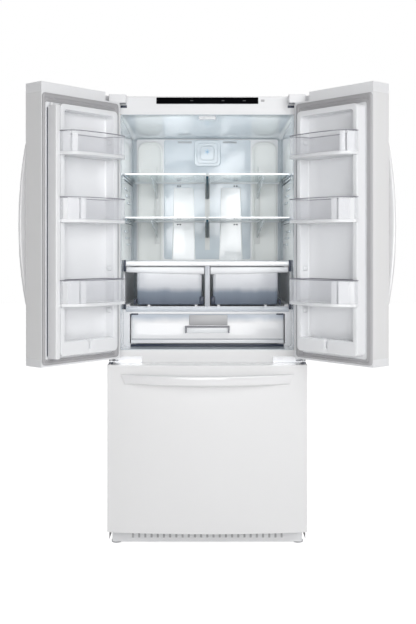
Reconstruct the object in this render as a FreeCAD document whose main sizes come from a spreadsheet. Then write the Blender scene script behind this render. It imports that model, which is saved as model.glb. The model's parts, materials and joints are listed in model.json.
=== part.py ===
"""A french door refrigerator with a bottom freezer drawer, as a parametric assembly.

Frame: +Z up, +X to the right seen from the front, +Y towards the back, millimetres.
Each sub-part is drawn with the cabinet's front frame at y = 0 and is then shifted by frame_y,
so that the origin lies on the floor under the middle of the whole assembly.
A door is drawn shut about its own hinge axis, with x running from the axis to the free edge,
then turned open. The right door is the left one mirrored.
"""
import FreeCAD, Part
import os
import re

import Sketcher

Vector, Rotation = FreeCAD.Vector, FreeCAD.Rotation

DIMENSIONS = {
    "cabinet": {
        "case_width": 755.6,
        "case_height": 1735,
        "case_depth": 700,
        "case_bottom": 30,       # lower edge of the painted wrapper
        "frame_y": -159,         # front frame plane in the assembly frame
        "steel": 1,              # sheet steel
        "wall": 45.8,            # insulated wall, outside to inside
        "liner_wall": 2,
        "toe_height": 78,
        "toe_recess": 25,
        "pan_height": 76,
        "head_height": 71.7,     # case top down to the fridge ceiling
        "head_rim": 4,
        "machine_depth": 220,
        "machine_top": 310,
    },
    "compartments": {
        "fridge_depth": 613,
        "ceiling_drop": 17.6,
        "freezer_depth": 600,
        "freezer_low_depth": 420,
        "freezer_step": 372,
        "beam_depth": 30,
        "sill_lap": 27,          # door bottom up to the fridge floor
        "ceiling_lap": 20.5,     # freezer ceiling below the drawer top
        "floor_lap": 40,         # drawer bottom up to the freezer floor
    },
    "fronts": {
        "drawer_bottom": 80,
        "drawer_height": 630.5,
        "front_gap": 23.5,       # between the drawer and the doors
        "door_gap": 7.6,         # between the two doors
        "door_top_gap": 2,       # door top below the case top
        "edge_thickness": 62,    # at the sides
        "crown": 25,             # extra thickness in the middle of the front
        "gasket_gap": 8,         # frame plane to the fronts' inner plane
        "hinge_inset": 12,       # hinge axis in from the door's side
        "hinge_setback": 35,     # hinge axis in front of the door's inner plane
        "open_angle": 131,
        "top_cap": 35,
        "bottom_cap": 28,
        "cap_wall": 3,
        "notch_length": 73.5,
        "notch_depth": 32,
        "notch_lip": 4,
    },
    "door_liner": {
        "dike_hinge_inset": 52,
        "left_dike_inset": 48,
        "right_dike_inset": 35,
        "dike_bottom": 38,       # above the door bottom
        "dike_top": 76,          # below the door top
        "dike_rise": 45,
        "dike_width": 20,
        "dike_radius": 16,
        "pocket_height": 43,
        "gasket_outer": 10,
        "gasket_free": 2,
        "gasket_inner": 40,
        "gasket_lap": 13,
        "running_gap": 0.3,
    },
    "door_bins": {
        "bin_reach": 115,        # front of a bin from the door's inner plane
        "bin_wall": 2.5,
        "bin_floor": 4,
        "bin_bow": 18,
        "bin_corner": 26,
        "bin_overhang": 8,       # past the free side of the dike
        "bin_hook": 1,           # above the dike's face
        "bin_hinge_inset": 55,
        "bin_side_gap": 2,       # between a bin's back and the dike's sides
        "upper_bin_share": 0.7437,   # base of the bin, as a share of the door's height
        "upper_bin_height": 85,
        "middle_bin_share": 0.5075,
        "middle_bin_height": 90,
        "lower_bin_share": 0.2122,
        "lower_bin_height": 94,
    },
    "handles": {
        "door_handle_length": 706,
        "door_handle_base": 152,     # above the door bottom
        "door_handle_width": 28,
        "door_handle_inset": 10,
        "handle_rise": 60,
        "handle_thickness": 15,
        "drawer_handle_length": 650,
        "drawer_handle_height": 38,
        "drawer_handle_drop": 33,
        "drawer_handle_cut": 15,
    },
    "mullion": {
        "flap_width": 48,
        "flap_thickness": 22,
        "flap_axis_free": 20,
        "flap_axis_rise": 6,
        "flap_axis_gap": 2,
        "flap_base": 31,
        "flap_top": 83,
        "knuckle_radius": 4.5,
        "knuckle_length": 30,
        "pin_radius": 2,
        "nub_length": 11,
        "guide_width": 67,
        "guide_height": 11,
        "guide_front": 32,
        "guide_depth": 28,
    },
    "hinges": {
        "hinge_plate": 4,
        "hinge_pin_radius": 5,
        "hinge_pin_depth": 19,
        "hinge_leaf_inner": 312,
        "cover_wall": 1.6,
        "cover_reach": 60,
        "cover_inner": 309,
        "cover_side_gap": 4.8,
        "middle_plate_drop": 15,
        "middle_leaf_inner": 252,
        "middle_leaf_height": 31,
        "middle_plate_inner": 26,    # plate inward of the hinge axis
        "middle_plate_outer": 7,
        "middle_plate_front": 9,
        "leaf_thickness": 3,
        "leaf_screw_radius": 4.5,
        "leaf_screw_pitch": 26,
        "leaf_screw_inset": 14,
        "collar_wall": 3,
        "boss_radius": 9,
        "bore_clearance": 0.3,
    },
    "panel": {
        "panel_width": 392,
        "panel_height": 25,
        "panel_drop": 29.4,
        "fascia_thickness": 3,
        "panel_proud": 1,
    },
    "shelves": {
        "upper_shelf_share": 0.3826,  # shelf top, down the room from ceiling to crisper cover
        "lower_shelf_share": 0.6887,
        "glass": 4,
        "shelf_clearance": 7,        # behind the door bins
        "shelf_mid_gap": 5,
        "shelf_side_gap": 6,
        "pane_lap": 3,               # glass inside the trim's ends
        "pane_front": 6,
        "pane_back": 2,
        "rear_trim_depth": 12,
        "trim_depth": 14,
        "trim_height": 18,
        "trim_lip": 2,
        "arm_thickness": 3,
        "arm_height": 76,
        "arm_tip": 12,
        "arm_root": 30,
        "duct_depth": 13,
        "duct_side_gap": 14,
        "duct_top_drop": 23,
        "recess_depth": 6,
        "recess_inner": 200,
        "recess_outer": 314,
        "recess_radius": 36,
        "track_depth": 8,
        "track_width": 22,
        "track_place": 224.5,
        "track_slot_pitch": 28,
        "track_slot_length": 14,
        "track_slot_drop": 96,       # lowest slot below the lower shelf
        "middle_track_low": 45,      # above the crisper cover
        "middle_track_high": 39,     # above the upper shelf
        "side_track_low": 72,
        "side_track_high": 3,
        "filter_size": 120,
        "filter_drop": 86,
        "filter_rise": 12,
    },
    "crispers": {
        "cover_height": 337,         # crisper cover's top above the fridge floor
        "cover_thickness": 18,
        "pantry_top": 159,           # pantry cover's top above the fridge floor
        "pantry_cover_thickness": 30,
        "pantry_plate": 10,
        "post_half": 10,
        "crisper_inner": 14,
        "crisper_side_gap": 55,      # crisper's outer side in from the fridge wall
        "crisper_wall": 2.5,
        "crisper_radius": 12,
        "crisper_depth": 400,
        "crisper_rim_drop": 22,      # rim below the cover's top
        "rail_height": 29,
        "rail_depth": 16,
        "rail_side_gap": 11.1,
        "glide_height": 6,
        "glide_width": 10,
        "pantry_side_gap": 27,
        "pantry_depth": 420,
        "pantry_base": 11,
        "pantry_clearance": 1,
        "pantry_handle_half": 88,
        "pantry_handle_rise": 28,
        "support_width": 24,
        "crisper_glass_drop": 6,     # crisper cover's glass below its top
        "crisper_glass_inset": 14,
        "cover_rim": 20,
        "cover_back_rim": 12,
        "bracket_thickness": 3,
        "bracket_head": 8,
        "rail_drop": 4,              # handle rail below the cover
        "rail_proud": 2,
        "rail_grip_inset": 8,
        "rail_grip_height": 14,
        "pantry_handle_drop": 46,
        "pantry_handle_proud": 22,
        "pantry_handle_wall": 5,
    },
    "freezer": {
        "basket_half": 286,
        "basket_height": 250,
        "basket_depth": 360,
        "basket_wall": 2.5,
        "basket_radius": 24,
        "basket_rise": 16,           # basket above the freezer floor
        "basket_gap": 12,            # basket behind the drawer's inner panel
        "stay_inset": 40,
        "stay_rise": 60,
        "stay_height": 14,
        "tray_half": 284,
        "tray_height": 110,
        "tray_base": 330,
        "tray_depth": 430,
        "tray_gap": 24,
        "tray_rim": 6,
        "tray_rim_gap": 12,          # rim's edge in from the wall
        "ledge_width": 24,
        "ledge_height": 8,
        "slide_gap": 14,
        "slide_step": 3,             # each slide member lower than the one outside it
        "slide_height": 36,
        "slide_base": 190,
        "slide_width": 11,
        "slide_length": 380,
        "panel_rise": 20,
        "panel_side_inset": 58,
        "drawer_gasket_width": 20,
        "drawer_gasket_inset": 8,
    },
    "machinery": {
        "evaporator_cover_y": 536,
        "evaporator_width": 520,
        "evaporator_rise": 34,       # coil above the compartment's step
        "evaporator_gap": 24,        # between the coil and the fan's ring
        "evaporator_fan_drop": 80,   # fan axis below the freezer ceiling
        "fan_ring": 8,               # fan ring's outer radius past the blades
        "fan_tip_gap": 4,
        "fan_shaft_radius": 3,
        "evaporator_depth": 46,
        "evaporator_fan_radius": 52,
        "condenser_fan_radius": 72,
        "compressor_radius": 78,
        "compressor_x": 215,
        "condenser_x": -180,
        "condenser_width": 240,
        "roller_radius": 21,
        "roller_width": 20,
        "roller_y": 640,
        "foot_radius": 20,
        "foot_height": 8,
        "foot_y": 75,
        "screw_radius": 5,
        "bracket_width": 32,
        "bracket_inset": 6,
        "bracket_wall": 2,
        "foot_bracket_half": 35,
        "foot_bracket_drop": 30,
        "roller_bracket_half": 50,
        "roller_bracket_lift": 9,
        "nut_height": 8,
        "nut_rim": 5,
        "axle_end": 2,
        "machine_floor_rise": 10,    # above the case's lower edge
        "machine_floor": 2,
        "grille_side_gap": 10,
        "grille_thickness": 3,
        "grille_bottom": 14,
        "grille_slot_width": 14,
        "grille_slot_pitch": 27,
        "grille_slot_low": 26,
        "grille_slot_high": 62,
        "gland_inset": 90,
        "gland_rise": 32,
        "gland_radius": 11,
        "gland_length": 11,
        "cable_radius": 5,
    },
}
SIZES = {name: value for group in DIMENSIONS.values() for name, value in group.items()}

DRAWER_TOP = "(drawer_bottom + drawer_height)"
DOOR_BOTTOM = f"({DRAWER_TOP} + front_gap)"
DOOR_TOP = "(case_height - door_top_gap)"
FREEZER_FLOOR = "(drawer_bottom + floor_lap)"
FREEZER_TOP = f"({DRAWER_TOP} - ceiling_lap)"
FRIDGE_FLOOR = f"({DOOR_BOTTOM} + sill_lap)"
FRIDGE_TOP = "(case_height - head_height)"
HALF = "(case_width / 2)"
MOUTH = "(case_width / 2 - wall)"
DOOR_WIDTH = "((case_width - door_gap) / 2)"
FRONT_RADIUS = "((case_width ^ 2 / 4 + crown ^ 2) / (2 * crown))"
BACK = "(fridge_depth - duct_depth)"
SHELF_FRONT = "(bin_reach - gasket_gap + shelf_clearance)"
COVER_TOP = f"({FRIDGE_FLOOR} + cover_height)"
SHELF_TOPS = [f"({FRIDGE_TOP} - {level}_shelf_share * ({FRIDGE_TOP} - {COVER_TOP}))" for level in ("upper",
                                                                                                   "lower")]
COVER_GLASS = f"({COVER_TOP} - crisper_glass_drop)"
CRISPER_OUTER = f"({MOUTH} - crisper_side_gap)"
PANTRY_HALF = f"({MOUTH} - pantry_side_gap)"
PANTRY_TOP = f"({FRIDGE_FLOOR} + pantry_top)"
MACHINE_FRONT = "(case_depth - machine_depth)"

doc = FreeCAD.newDocument("french_door_refrigerator")
nodes = []


# ---------------------------------------------------------------- sheet and formulas

def make_sheet():
    """Write every size into a named cell."""
    sheet = doc.addObject("Spreadsheet::Sheet", "sizes")
    for row, (name, value) in enumerate(SIZES.items(), 1):
        sheet.set(f"A{row}", name)
        sheet.set(f"B{row}", str(value))
        sheet.setAlias(f"B{row}", name)
    doc.recompute()


def bind(item, prop, formula):
    """Tie a property to a formula whose names are the sheet's."""
    text = re.sub(r"[A-Za-z_]\w*", lambda word: in_sheet(word.group()), str(formula))
    item.setExpression(prop, text)


def in_sheet(word):
    return f"sizes.{word}" if word in SIZES else word


def bind_place(item, place, prop="Placement.Base"):
    for axis, formula in zip("xyz", place):
        bind(item, f"{prop}.{axis}", formula)


def both(formula):
    """A range that is the same on either side of the middle plane."""
    return f"-({formula})", f"{formula}"


def from_to(start, length):
    """A range that begins at start."""
    return f"{start}", f"({start}) + ({length})"


# ---------------------------------------------------------------- solids

def box(name, x, y, z):
    """A block between the low and high formulas on each axis."""
    item = doc.addObject("Part::Box", name)
    for prop, (low, high) in zip(("Length", "Width", "Height"), (x, y, z)):
        bind(item, prop, f"({high}) - ({low})")
    bind_place(item, (x[0], y[0], z[0]))
    return item


def cylinder(name, axis, start, radius, length):
    """A round bar from start, along +X, +Y or +Z."""
    turns = {"x": (Vector(0, 1, 0), 90), "y": (Vector(-1, 0, 0), 90), "z": (Vector(0, 0, 1), 0)}
    item = doc.addObject("Part::Cylinder", name)
    item.Placement = FreeCAD.Placement(Vector(), Rotation(*turns[axis]))
    bind(item, "Radius", radius)
    bind(item, "Height", length)
    bind_place(item, start)
    return item


def outline(body, normal, points, start):
    """A closed sketch of straight lines, one point a pair of formulas."""
    role = {"x": "YZ_Plane", "y": "XZ_Plane", "z": "XY_Plane"}[normal]
    sketch = body.newObject("Sketcher::SketchObject", f"{body.Name}_sketch")
    plane = next(item for item in body.Origin.OriginFeatures if item.Role == role)
    sketch.AttachmentSupport = (plane, [""])
    sketch.MapMode = "FlatFace"
    bind(sketch, "AttachmentOffset.Base.z", start)
    count = len(points)
    spread = [Rotation(Vector(0, 0, 1), 360 * i / count).multVec(Vector(1, 0, 0)) for i in range(count)]
    for i in range(count):
        sketch.addGeometry(Part.LineSegment(spread[i], spread[(i + 1) % count]), False)
    for i in range(count):
        sketch.addConstraint(Sketcher.Constraint("Coincident", i, 2, (i + 1) % count, 1))
    for i, point in enumerate(points):
        for kind, formula in zip(("DistanceX", "DistanceY"), point):
            index = sketch.addConstraint(Sketcher.Constraint(kind, -1, 1, i, 1, i + 1.0))
            bind(sketch, f"Constraints[{index}]", formula)
    return sketch


def prism(name, normal, points, along, radius=None):
    """A body padded from an outline, with its corners along the pad rounded by radius."""
    low, high = along
    body = doc.addObject("PartDesign::Body", name)
    sketch = outline(body, normal, points, f"-({high})" if normal == "y" else low)
    pad = body.newObject("PartDesign::Pad", f"{name}_pad")
    pad.Profile = sketch
    bind(pad, "Length", f"({high}) - ({low})")
    if radius:
        doc.recompute()
        direction = {"x": Vector(1, 0, 0), "y": Vector(0, 1, 0), "z": Vector(0, 0, 1)}[normal]
        corners = [
            f"Edge{i}" for i, edge in enumerate(pad.Shape.Edges, 1)
            if abs(edge.tangentAt(edge.FirstParameter).dot(direction)) > 0.99
        ]
        fillet = body.newObject("PartDesign::Fillet", f"{name}_corners")
        fillet.Base = (pad, corners)
        bind(fillet, "Radius", radius)
    return body


def slab(name, normal, x, y, z, radius):
    """A block with the corners along one axis rounded."""
    across, up, along = {"x": (y, z, x), "y": (x, z, y), "z": (x, y, z)}[normal]
    corners = [(across[0], up[0]), (across[1], up[0]), (across[1], up[1]), (across[0], up[1])]
    return prism(name, normal, corners, along, radius)


def cut(name, base, *tools):
    for tool in tools:
        result = doc.addObject("Part::Cut", name)
        result.Base, result.Tool = base, tool
        base = result
    return base


def fuse(name, *items):
    result = doc.addObject("Part::MultiFuse", name)
    result.Shapes = list(items)
    result.Refine = True
    return result


def common(name, first, second):
    result = doc.addObject("Part::MultiCommon", name)
    result.Shapes = [first, second]
    return result


def group(name, items):
    result = doc.addObject("Part::Compound", name)
    result.Links = list(items)
    return result


def mirrored(item, name="mirror_copy"):
    """The same solid on the other side of the middle plane."""
    result = doc.addObject("Part::Mirroring", name)
    result.Source = item
    result.Normal = Vector(1, 0, 0)
    return result


def pair(item):
    return [item, mirrored(item)]


def turned(name, items, axis, angle, place=("0", "0", "0")):
    """Solids turned about an axis through the origin, then moved."""
    result = group(name, items)
    result.Placement = FreeCAD.Placement(Vector(), Rotation(axis, angle))
    bind_place(result, place)
    return result


def tub(name, x, y, z, wall, floor, radius):
    """An open-topped box with rounded upright corners and an even wall."""
    inner_x = f"{x[0]} + {wall}", f"{x[1]} - {wall}"
    inner_y = f"{y[0]} + {wall}", f"{y[1]} - {wall}"
    inner_z = f"{z[0]} + {floor}", f"{z[1]} + {wall}"
    outer = slab(f"{name}_outer", "z", x, y, z, radius)
    inner = slab(f"{name}_inner", "z", inner_x, inner_y, inner_z, f"{radius} - {wall}")
    return cut(name, outer, inner)


def channel(name, x, y, z, wall):
    """A sheet channel along Y, open below."""
    outer = box(f"{name}_outer", x, y, z)
    inner = box(f"{name}_inner", (f"{x[0]} + {wall}", f"{x[1]} - {wall}"),
                (f"{y[0]} - 1", f"{y[1]} + 1"), (f"{z[0]} - 1", f"{z[1]} - {wall}"))
    return cut(name, outer, inner)


def node(label, *items):
    """Finish a sub-part of the cabinet or of a drawer."""
    part = group(f"{label}_part", items)
    part.Label = label
    bind(part, "Placement.Base.y", "frame_y")
    nodes.append(part)


# ---------------------------------------------------------------- cabinet

def fridge_form(name, grow, front):
    """The fridge compartment with its falling ceiling, grown outwards by a wall."""
    floor, ceiling, back = f"{FRIDGE_FLOOR} - {grow}", f"{FRIDGE_TOP} + {grow}", f"fridge_depth + {grow}"
    points = [(front, floor), (back, floor), (back, f"{ceiling} - ceiling_drop"), (front, ceiling)]
    return prism(name, "x", points, both(f"({MOUTH} + {grow})"))


def freezer_form(name, grow, front):
    """The freezer compartment, stepped over the machine room."""
    floor, ceiling = f"{FREEZER_FLOOR} - {grow}", f"{FREEZER_TOP} + {grow}"
    low_back, back, step = f"freezer_low_depth + {grow}", f"freezer_depth + {grow}", f"freezer_step - {grow}"
    points = [(front, floor), (low_back, floor), (low_back, step), (back, step), (back, ceiling),
              (front, ceiling)]
    return prism(name, "x", points, both(f"({MOUTH} + {grow})"))


def make_cabinet():
    inside = both(f"({HALF} - steel)")
    lined = both(f"({MOUTH} + liner_wall)")
    rear = "(case_depth - steel)"
    block = box("case_block", both(HALF), ("0", "case_depth"), ("case_bottom", "case_height"))
    hollow = box("case_hollow", inside, ("steel", "case_depth + steel"),
                 ("case_bottom - steel", "case_height - steel"))
    mouth = box("case_mouth", lined, ("-steel", "2 * steel"),
                (f"{FREEZER_FLOOR} - liner_wall", "case_height - head_rim"))
    toe = box("case_toe", inside, ("-steel", "2 * steel"), ("case_bottom - steel", "toe_height"))
    node("outer_case", cut("case_shell", block, hollow, mouth, toe))
    node("rear_panel", box("rear_sheet", inside, (rear, "case_depth"),
                           ("machine_top + steel", "case_height - steel")))

    fridge_outer = fridge_form("fridge_outer", "liner_wall", "0")
    freezer_outer = freezer_form("freezer_outer", "liner_wall", "0")
    node("fridge_liner", cut("fridge_shell", fridge_outer, fridge_form("fridge_space", "0", "-steel")))
    node("freezer_liner", cut("freezer_shell", freezer_outer, freezer_form("freezer_space", "0", "-steel")))

    beam_z = (f"{FREEZER_TOP} + liner_wall", f"{FRIDGE_FLOOR} - liner_wall")
    beam = box("beam_block", lined, ("0", "beam_depth"), beam_z)
    beam_hollow = box("beam_hollow", lined, ("2 * steel", "beam_depth + steel"),
                      (f"{beam_z[0]} + steel", f"{beam_z[1]} - steel"))
    node("divider_beam", cut("beam_channel", beam, beam_hollow))

    machine = box("machine_space", inside, (f"{MACHINE_FRONT} - steel", "case_depth"),
                  ("0", "machine_top + steel"))
    fascia = box("fascia_space", lined, ("0", "fascia_thickness"),
                 (f"{FRIDGE_TOP} + liner_wall", "case_height - head_rim"))
    foam = box("foam_block", inside, ("steel", rear), ("pan_height + steel", "case_height - steel"))
    node("cabinet_foam", cut("foam_body", foam, fridge_outer, freezer_outer, beam, machine, fascia))


def make_base():
    """The stepped pan under the foam, its brackets, the toe grille, the feet and the rollers."""
    pan, rear = "pan_height", "(case_depth - steel)"
    points = [("2 * steel", pan), (MACHINE_FRONT, pan), (MACHINE_FRONT, "machine_top"), (rear, "machine_top"),
              (rear, "machine_top + steel"), (f"{MACHINE_FRONT} - steel", "machine_top + steel"),
              (f"{MACHINE_FRONT} - steel", f"{pan} + steel"), ("2 * steel", f"{pan} + steel")]
    sheet = prism("pan_sheet", "x", points, both(f"({HALF} - steel)"))
    outer = f"({HALF} - bracket_inset)"
    across = (f"{outer} - bracket_width", outer)
    front = channel("foot_bracket", across, ("foot_y - foot_bracket_half", "foot_y + foot_bracket_half"),
                    (f"{pan} - foot_bracket_drop", pan), "bracket_wall")
    rear_bracket = channel("roller_bracket", across,
                           ("roller_y - roller_bracket_half", "roller_y + roller_bracket_half"),
                           ("roller_radius - roller_bracket_lift", pan), "bracket_wall")
    bore = cylinder("roller_bore", "x", (f"{across[0]} - 1", "roller_y", "roller_radius"),
                    "screw_radius + bore_clearance", "bracket_width + 2")
    rear_bracket = cut("bored_bracket", rear_bracket, bore)
    floor_z = "(case_bottom + machine_floor_rise)"
    floor = box("machine_floor", both(f"({outer} - bracket_width)"), (MACHINE_FRONT, f"{rear} - 2 * steel"),
                (floor_z, f"{floor_z} + machine_floor"))
    hanger = box("floor_hanger", both(f"({outer} - bracket_width)"),
                 from_to(f"({MACHINE_FRONT} - steel)", "steel"),
                 (floor_z, pan))
    node("base_pan", fuse("pan_body", sheet, *pair(front), *pair(rear_bracket), floor, hanger))

    grille = box("grille_plate", both(f"({HALF} - grille_side_gap)"),
                 from_to("toe_recess", "grille_thickness"),
                 ("grille_bottom", pan))
    slots = [box("grille_slot", from_to(f"({i} * grille_slot_pitch - grille_slot_width / 2)",
                                        "grille_slot_width"),
                 ("toe_recess - 1", "toe_recess + grille_thickness + 1"),
                 ("grille_slot_low", "grille_slot_high"))
             for i in range(-12, 13)]
    node("toe_grille", cut("grille_body", grille, group("grille_slots", slots)))

    centre = f"({outer} - bracket_width / 2)"
    foot = cylinder("foot_pad", "z", (centre, "foot_y", "0"), "foot_radius", "foot_height")
    screw = cylinder("foot_screw", "z", (centre, "foot_y", "0"), "screw_radius", f"{pan} - bracket_wall")
    nut = cylinder("foot_nut", "z", (centre, "foot_y", f"{pan} - bracket_wall - nut_height"),
                   "screw_radius + nut_rim", "nut_height")
    node("levelling_legs", *pair(fuse("foot", foot, screw, nut)))

    wheel = cylinder("roller_wheel", "x", (f"({centre} - roller_width / 2)", "roller_y", "roller_radius"),
                     "roller_radius", "roller_width")
    axle = cylinder("roller_axle", "x", (f"({across[0]} - axle_end)", "roller_y", "roller_radius"),
                    "screw_radius", "bracket_width + 2 * axle_end")
    node("rear_rollers", *pair(fuse("roller", wheel, axle)))


def make_head():
    """The fascia over the fridge mouth, with the control panel set into it."""
    z = (f"{FRIDGE_TOP} + liner_wall", "case_height - head_rim")
    fascia = box("fascia_plate", both(f"({MOUTH} + liner_wall)"), ("0", "fascia_thickness"), z)
    panel_z = from_to("(case_height - panel_drop)", "panel_height")
    middle = "fascia_thickness / 2"
    recess = box("panel_recess", both("panel_width / 2"), ("-1", middle), panel_z)
    groove = box("fascia_groove", both(f"({MOUTH} - 8)"), ("-1", "0.8"), from_to("(case_height - 45)", "1.6"))
    node("top_fascia", cut("fascia_body", fascia, recess, groove))
    node("control_panel", slab("panel_glass", "y", both("panel_width / 2"), ("-panel_proud", middle),
                               panel_z, "3"))
    tab = slab("guide_tab", "z", both("guide_width / 2"), from_to("guide_front", "guide_depth"),
               (f"{FRIDGE_TOP} - guide_height", f"{FRIDGE_TOP} + liner_wall"), "6")
    slot = cylinder("guide_slot", "z", ("-guide_width / 3", "guide_front",
                                        f"{FRIDGE_TOP} - guide_height - 1"),
                    "12", "8")
    node("mullion_guide", common("guide_body", cut("guide_block", tab, slot),
                                 fridge_form("guide_limit", "0", "-steel")))


# ---------------------------------------------------------------- fridge interior

def make_shelves():
    """Two rows of half-width glass shelves on arms that hook into slotted tracks."""
    inner, outer = "shelf_mid_gap", f"({MOUTH} - shelf_side_gap)"
    track_front = f"({BACK} - track_depth)"
    panes, frames, arms = [], [], []
    for top in SHELF_TOPS:
        pane = box("shelf_pane", (f"{inner} + pane_lap", f"{outer} - pane_lap"),
                   (f"{SHELF_FRONT} + pane_front", f"{track_front} - pane_back"),
                   (f"{top} - glass", top))
        trim_z = (f"{top} - trim_height", f"{top} + trim_lip")
        front = slab("shelf_front_trim", "x", (inner, outer), from_to(SHELF_FRONT, "trim_depth"), trim_z, "4")
        rear = box("shelf_rear_trim", (inner, outer), (f"{track_front} - rear_trim_depth",
                                                       f"{track_front} - 1"),
                   (f"{top} - trim_height / 2", f"{top} + trim_lip"))
        under, low = f"{top} - glass", f"{top} - glass - arm_height"
        tip = f"{SHELF_FRONT} + trim_depth"
        shape = [(tip, under), (track_front, under), (track_front, low), (f"{track_front} - arm_root", low),
                 (tip, f"{under} - arm_tip")]
        middle_arm = prism("middle_arm", "x", shape, from_to(f"{inner} + 1", "arm_thickness"))
        side_arm = prism("side_arm", "x", shape, from_to("(track_place - arm_thickness / 2)",
                                                         "arm_thickness"))
        panes += pair(pane)
        frames += pair(cut("shelf_trim", front, pane))
        frames += pair(cut("shelf_back_trim", rear, pane, middle_arm, side_arm))
        arms += pair(middle_arm) + pair(side_arm)
    node("shelf_frames", *frames)
    node("shelf_brackets", *arms)

    high, low = SHELF_TOPS
    slot_z = [f"({low} - track_slot_drop + {i} * track_slot_pitch)" for i in range(10)]
    middle = box("middle_track", both("track_width / 2"), (track_front, BACK),
                 (f"{COVER_TOP} + middle_track_low", f"{high} + middle_track_high"))
    side = box("side_track", from_to("(track_place - track_width / 2)", "track_width"),
               (track_front, f"{BACK} + recess_depth"), (f"{COVER_TOP} + side_track_low",
                                                         f"{high} + side_track_high"))
    slot_y = from_to(f"{track_front} - 1", "5")
    middle_slots = [box("middle_slot", both("3"), slot_y, from_to(z, "track_slot_length")) for z in slot_z]
    side_slots = [box("side_slot", ("track_place + 4", "track_place + 8"), slot_y,
                      from_to(z, "track_slot_length"))
                  for z in slot_z[:-1]]
    side = cut("side_track_body", side, group("side_slots", side_slots))
    node("shelf_tracks", cut("middle_track_body", middle, group("middle_slots", middle_slots)), *pair(side))

    cover_pane = box("cover_pane", both(f"({MOUTH} - crisper_glass_inset)"),
                     (f"{SHELF_FRONT} + 8", f"{BACK} - 8"),
                     (f"{COVER_GLASS} - glass", COVER_GLASS))
    node("shelf_glass", *panes, cover_pane)
    return cover_pane


def make_back_wall():
    """The air duct cover with its two recessed side panels, outlets and the round filter."""
    cover = slab("duct_block", "y", both(f"({MOUTH} - duct_side_gap)"), (BACK, "fridge_depth"),
                 (f"{FRIDGE_FLOOR} + 10", f"{FRIDGE_TOP} - duct_top_drop"), "8")
    recess = slab("duct_recess", "y", ("recess_inner", "recess_outer"),
                  (f"{BACK} - 1", f"{BACK} + recess_depth"),
                  (f"{COVER_TOP} + 14", f"{FRIDGE_TOP} - duct_top_drop - 8"), "recess_radius")
    outlets = []
    for top in SHELF_TOPS:
        outlets += [box("air_slot", ("111", "135"), (f"{BACK} - 1", f"{BACK} + 8"),
                        from_to(f"({top} {rise})", "6"))
                    for rise in ("+ 14", "- 12")]
    outlets += [box("top_vent", ("70", "133"), (f"{BACK} - 1", f"{BACK} + 8"),
                    from_to(f"({FRIDGE_TOP} - {drop})", "3")) for drop in (31, 37)]
    holes = group("duct_holes", [recess, *outlets])
    filter_z = f"({FRIDGE_TOP} - filter_drop)"
    node("air_duct_cover", cut("duct_cover", cover, holes, mirrored(holes)))
    frame = slab("filter_block", "y", both("filter_size / 2"), (f"{BACK} - filter_rise", BACK),
                 (f"{filter_z} - filter_size / 2", f"{filter_z} + filter_size / 2"), "18")
    ring = cut("filter_ring",
               cylinder("ring_outer", "y", ("0", f"{BACK} - filter_rise - 1", filter_z),
                        "filter_size * 0.4", "3"),
               cylinder("ring_inner", "y", ("0", f"{BACK} - filter_rise - 2", filter_z),
                        "filter_size * 0.36", "5"))
    node("filter_cover", cut("filter_body", frame, ring))


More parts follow.
